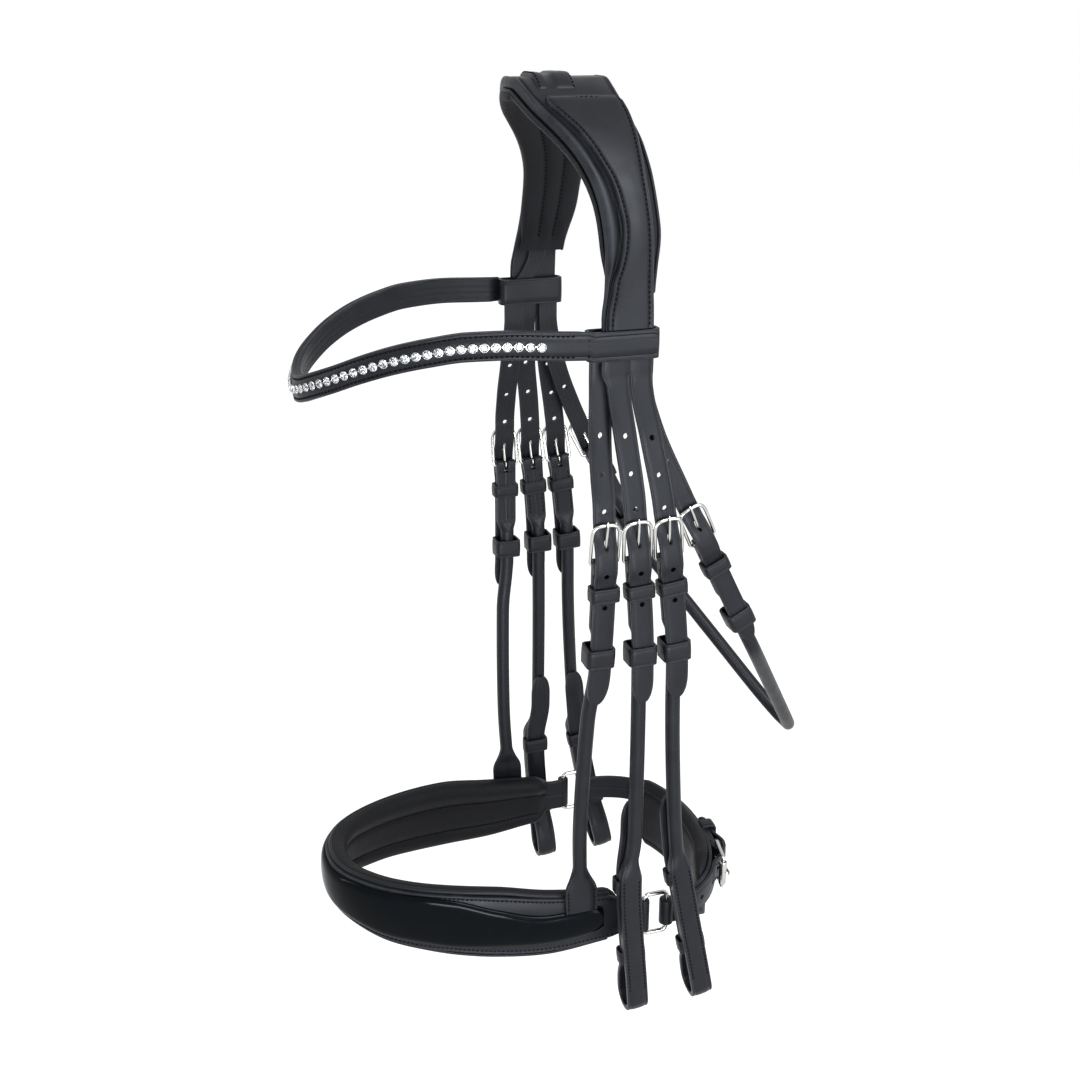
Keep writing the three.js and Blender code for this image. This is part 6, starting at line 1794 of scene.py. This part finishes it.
# %% [markdown]
# ## Rings and chin strap
# A square ring of thick wire joins the noseband to the chin strap on each side. The chin strap passes behind the
# jaw over a broad pad, goes through the off ring, and its doubled end comes back to a roller buckle.

# %% Square rings
def square_ring():
    """A wire round a rectangle with round corners, behind the noseband's end."""
    shape = Shape()
    deep, half, corner = RING_AT["deep"] / 2, RING_AT["half"], RING_AT["corner"]
    line = even(rounded(deep, -half, half, corner, 12)[0], 120, ring=True)
    centre = np.array([RING_AT["x"], RING_AT["front"] + deep, -RING_AT["drop"]])
    points = centre + np.column_stack([np.zeros(len(line)), line])
    bar(shape, points, RING_AT["wire"], [1.0, 0, 0], ring=True)
    return shape


both_sides("noseband_ring", "", square_ring(), [STEEL], "noseband_ring_{}")

# %% The chin strap's path
CHIN = {"behind": 53.0, "lift": 4.0, "half": 8.5, "thick": 2.6, "billet": 2.2, "heel": 70.0, "out": 3.6,
        "over": 7.6, "chape": 3.2, "tip": 38.0}
ROLLER = {"half": 9.4, "long": 19.0, "wire": 1.3, "tongue": 1.0, "tube": 2.4, "play": 0.6}


def chin_path():
    """Frames round the chin from ring to ring: x = a cos^p and y = b sin^p of an angle with p = 2 / 2.2."""
    angle = np.linspace(0, math.pi, 1200)
    power = 2 / 2.2
    x = RING_AT["x"] * np.sign(np.cos(angle)) * np.abs(np.cos(angle)) ** power
    y = RING_AT["front"] + RING_AT["deep"] + CHIN["behind"] * np.abs(np.sin(angle)) ** power
    line = np.stack([x, y, -RING_AT["drop"] + CHIN["lift"] * np.sin(angle) ** 2], -1)
    far = distances(line)

    def point(along):
        along = np.asarray(along, float)
        spot = np.stack([np.interp(along, far, line[:, k]) for k in range(3)], -1)
        spot[..., 1] += np.minimum(along, 0) - np.maximum(along - far[-1], 0)
        return spot

    def where(along):
        t = unit(point(np.add(along, 1.4)) - point(np.subtract(along, 1.4)))
        w = unit(np.array([0, 0, 1.0]) - t * t[..., 2:3])
        return point(along), t, w, np.cross(t, w)
    return where, far[-1]


chin_where, CHIN_LONG = chin_path()


def chin_strap():
    """The strap, its turned-back end through the buckle, the sewn layer under it, and the folds round the rings."""
    shape = Shape()
    half, heel, t = CHIN["half"], CHIN["heel"], CHIN["billet"]
    strap(shape, chin_where, np.linspace(0, CHIN_LONG, 90), half, -CHIN["thick"], 0.0, profile=SEWN_BAND)
    narrow, low = half - 0.5, GAP + t / 2
    table = [[0, low], [heel - 18, low + 0.1], [heel - 15, low + 1.2], [heel - 5.4, CHIN["over"] - 1.6 + t / 2],
             [heel, CHIN["over"] + t / 2], [heel + 3.4, CHIN["over"] + t / 2], [heel + 15, CHIN["chape"] + low],
             [CHIN_LONG, CHIN["chape"] + low]]
    end = heel + CHIN["tip"]
    drops = np.concatenate([np.arange(RING_AT["wire"], end - POINT, 2.2), point_rows(end)])
    strap(shape, chin_where, drops, lambda d: narrow * point_share(d, end),
          lambda d: smooth(table, d) - t / 2, lambda d: smooth(table, d) + t / 2,
          holes=[(heel - 10.4, 1.3, 5.6), (26, 1.5, 1.5), (42, 1.5, 1.5), (heel + 26, 1.5, 1.5)])
    down = np.concatenate([np.arange(heel + 4.5, heel + 26, 2.2), np.linspace(heel + 26, heel + 32, 6)])
    taper = ease(down, heel + 24, heel + 33)
    across, out = outline(SEWN_BAND, narrow * (1 - 0.35 * taper), np.full(len(down), -1.0),
                          CHIN["chape"] - 2.6 * taper)
    shape.grid(skin(chin_where(down), across, out), worn=SEWN_BAND[0][:, 4])
    o, s, w, n = heel_frame(chin_where, heel)
    place = (o + CHIN["out"] * n, s, w, n)
    chape_lugs(shape, place, narrow, wire=ROLLER["wire"], slot=ROLLER["tongue"] + GAP)
    keeper(shape, heel_frame(chin_where, heel + 21), 0, 9, half + 0.4, -1.0, CHIN["chape"] + 3 * GAP + t)
    tall = np.array([-1, -0.96, -0.88, 0, 0.88, 0.96, 1]) * half
    folds(shape, RING_AT["front"] + RING_AT["deep"], tall, np.array([3.8, 4.25, 4.4, 4.4, 4.4, 4.25, 3.8]))
    for side in (-1, 1):
        seam_on(shape, chin_where, np.arange(heel + 40, CHIN_LONG - 5, 1.0), side * (half - 1.8), -0.2)
    return shape, place


chin, CHIN_HEEL = chin_strap()
piece = chin.make("chin_strap_leather", LEATHER_SET)
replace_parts(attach(piece, "noseband"), "chin_strap")
CHIN_RISE = GAP + CHIN["billet"] + GAP + ROLLER["tube"] - CHIN["out"]
piece = buckle_frame(CHIN_HEEL, ROLLER["half"], ROLLER["long"], ROLLER["wire"], 0.9, 0.3, CHIN_RISE).make(
    "roller_buckle_frame", [STEEL])
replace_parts(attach(piece, "noseband"), "chin_buckle")
piece = buckle_tongue(CHIN_HEEL, ROLLER["long"], ROLLER["wire"], CHIN_RISE, ROLLER["long"] + ROLLER["tube"],
                      ROLLER["tongue"], ROLLER["tube"], ROLLER["play"]).make("roller_buckle_tongue", [STEEL])
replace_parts(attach(piece, "chin_tongue"), "chin_tongue")


# %% The roller and the chin pad
def roller_tube():
    """A tube with rounded rims, turned round the buckle's top bar."""
    shape = Shape()
    o, s, w, n = CHIN_HEEL
    base = o + ROLLER["long"] * s + CHIN_RISE * n
    half = ROLLER["half"] - 4 * GAP
    inner, outer = ROLLER["wire"] + GAP, ROLLER["tube"]
    ring = np.array([[-half, inner], [-half, outer - 0.3], [-half + 0.12, outer - 0.1], [-half + 0.35, outer],
                     [half - 0.35, outer], [half - 0.12, outer - 0.1], [half, outer - 0.3], [half, inner]])
    angle = np.arange(32) * 2 * math.pi / 32
    points = base + ring[None, :, :1] * w + ring[None, :, 1:] * (
        np.cos(angle)[:, None, None] * s + np.sin(angle)[:, None, None] * n)
    shape.grid(points, ring=True)
    return shape


def chin_pad():
    """A firm pad, full in the middle: it narrows to both ends, and a seam's groove runs 6.5 mm inside its edge."""
    shape = Shape()
    share = np.concatenate([[0, 0.01, 0.03, 0.06], np.linspace(0.1, 0.9, 46), [0.94, 0.97, 0.99, 1]])
    along = CHIN_LONG * (4 + 16 * share) / 24
    frames = chin_where(along)
    full = np.minimum(1, 0.42 + 1.9 * np.minimum(share, 1 - share) ** 0.6)
    end = quarter_round(np.minimum(share, 1 - share) / 0.05, 0.06)
    shift = (-481 - frames[0][:, 2]) * full
    half, thick = 25 * full * (0.75 + 0.25 * end), 9 * full * (0.45 + 0.55 * end)
    u = np.cos(np.radians(np.linspace(4, 176, 33)))
    edge = (1 - np.abs(u))[None] * half[:, None]
    swell = quarter_round(edge / 6.5)
    dip = np.exp(-((edge - 6.5) / 1.1) ** 2)
    outer = -CHIN["thick"] - GAP
    across = shift[:, None] + u[None] * half[:, None]
    low = outer - thick[:, None] * (0.4 + 0.6 * swell) + 0.9 * dip * end[:, None]
    high = outer - 0.4 * thick[:, None] * (1 - np.clip(edge / 2.0, 0, 1)) ** 2
    shape.grid(two_faces(frames, across, high, low))
    return shape


piece = roller_tube().make("roller_tube", [STEEL])
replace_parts(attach(piece, "chin_roller"), "chin_roller")
piece = chin_pad().make("chin_pad_lining", [LINING_LEATHER])
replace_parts(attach(piece, "noseband"), "chin_pad")

# %% [markdown]
# ## End

# %% End
print("done")
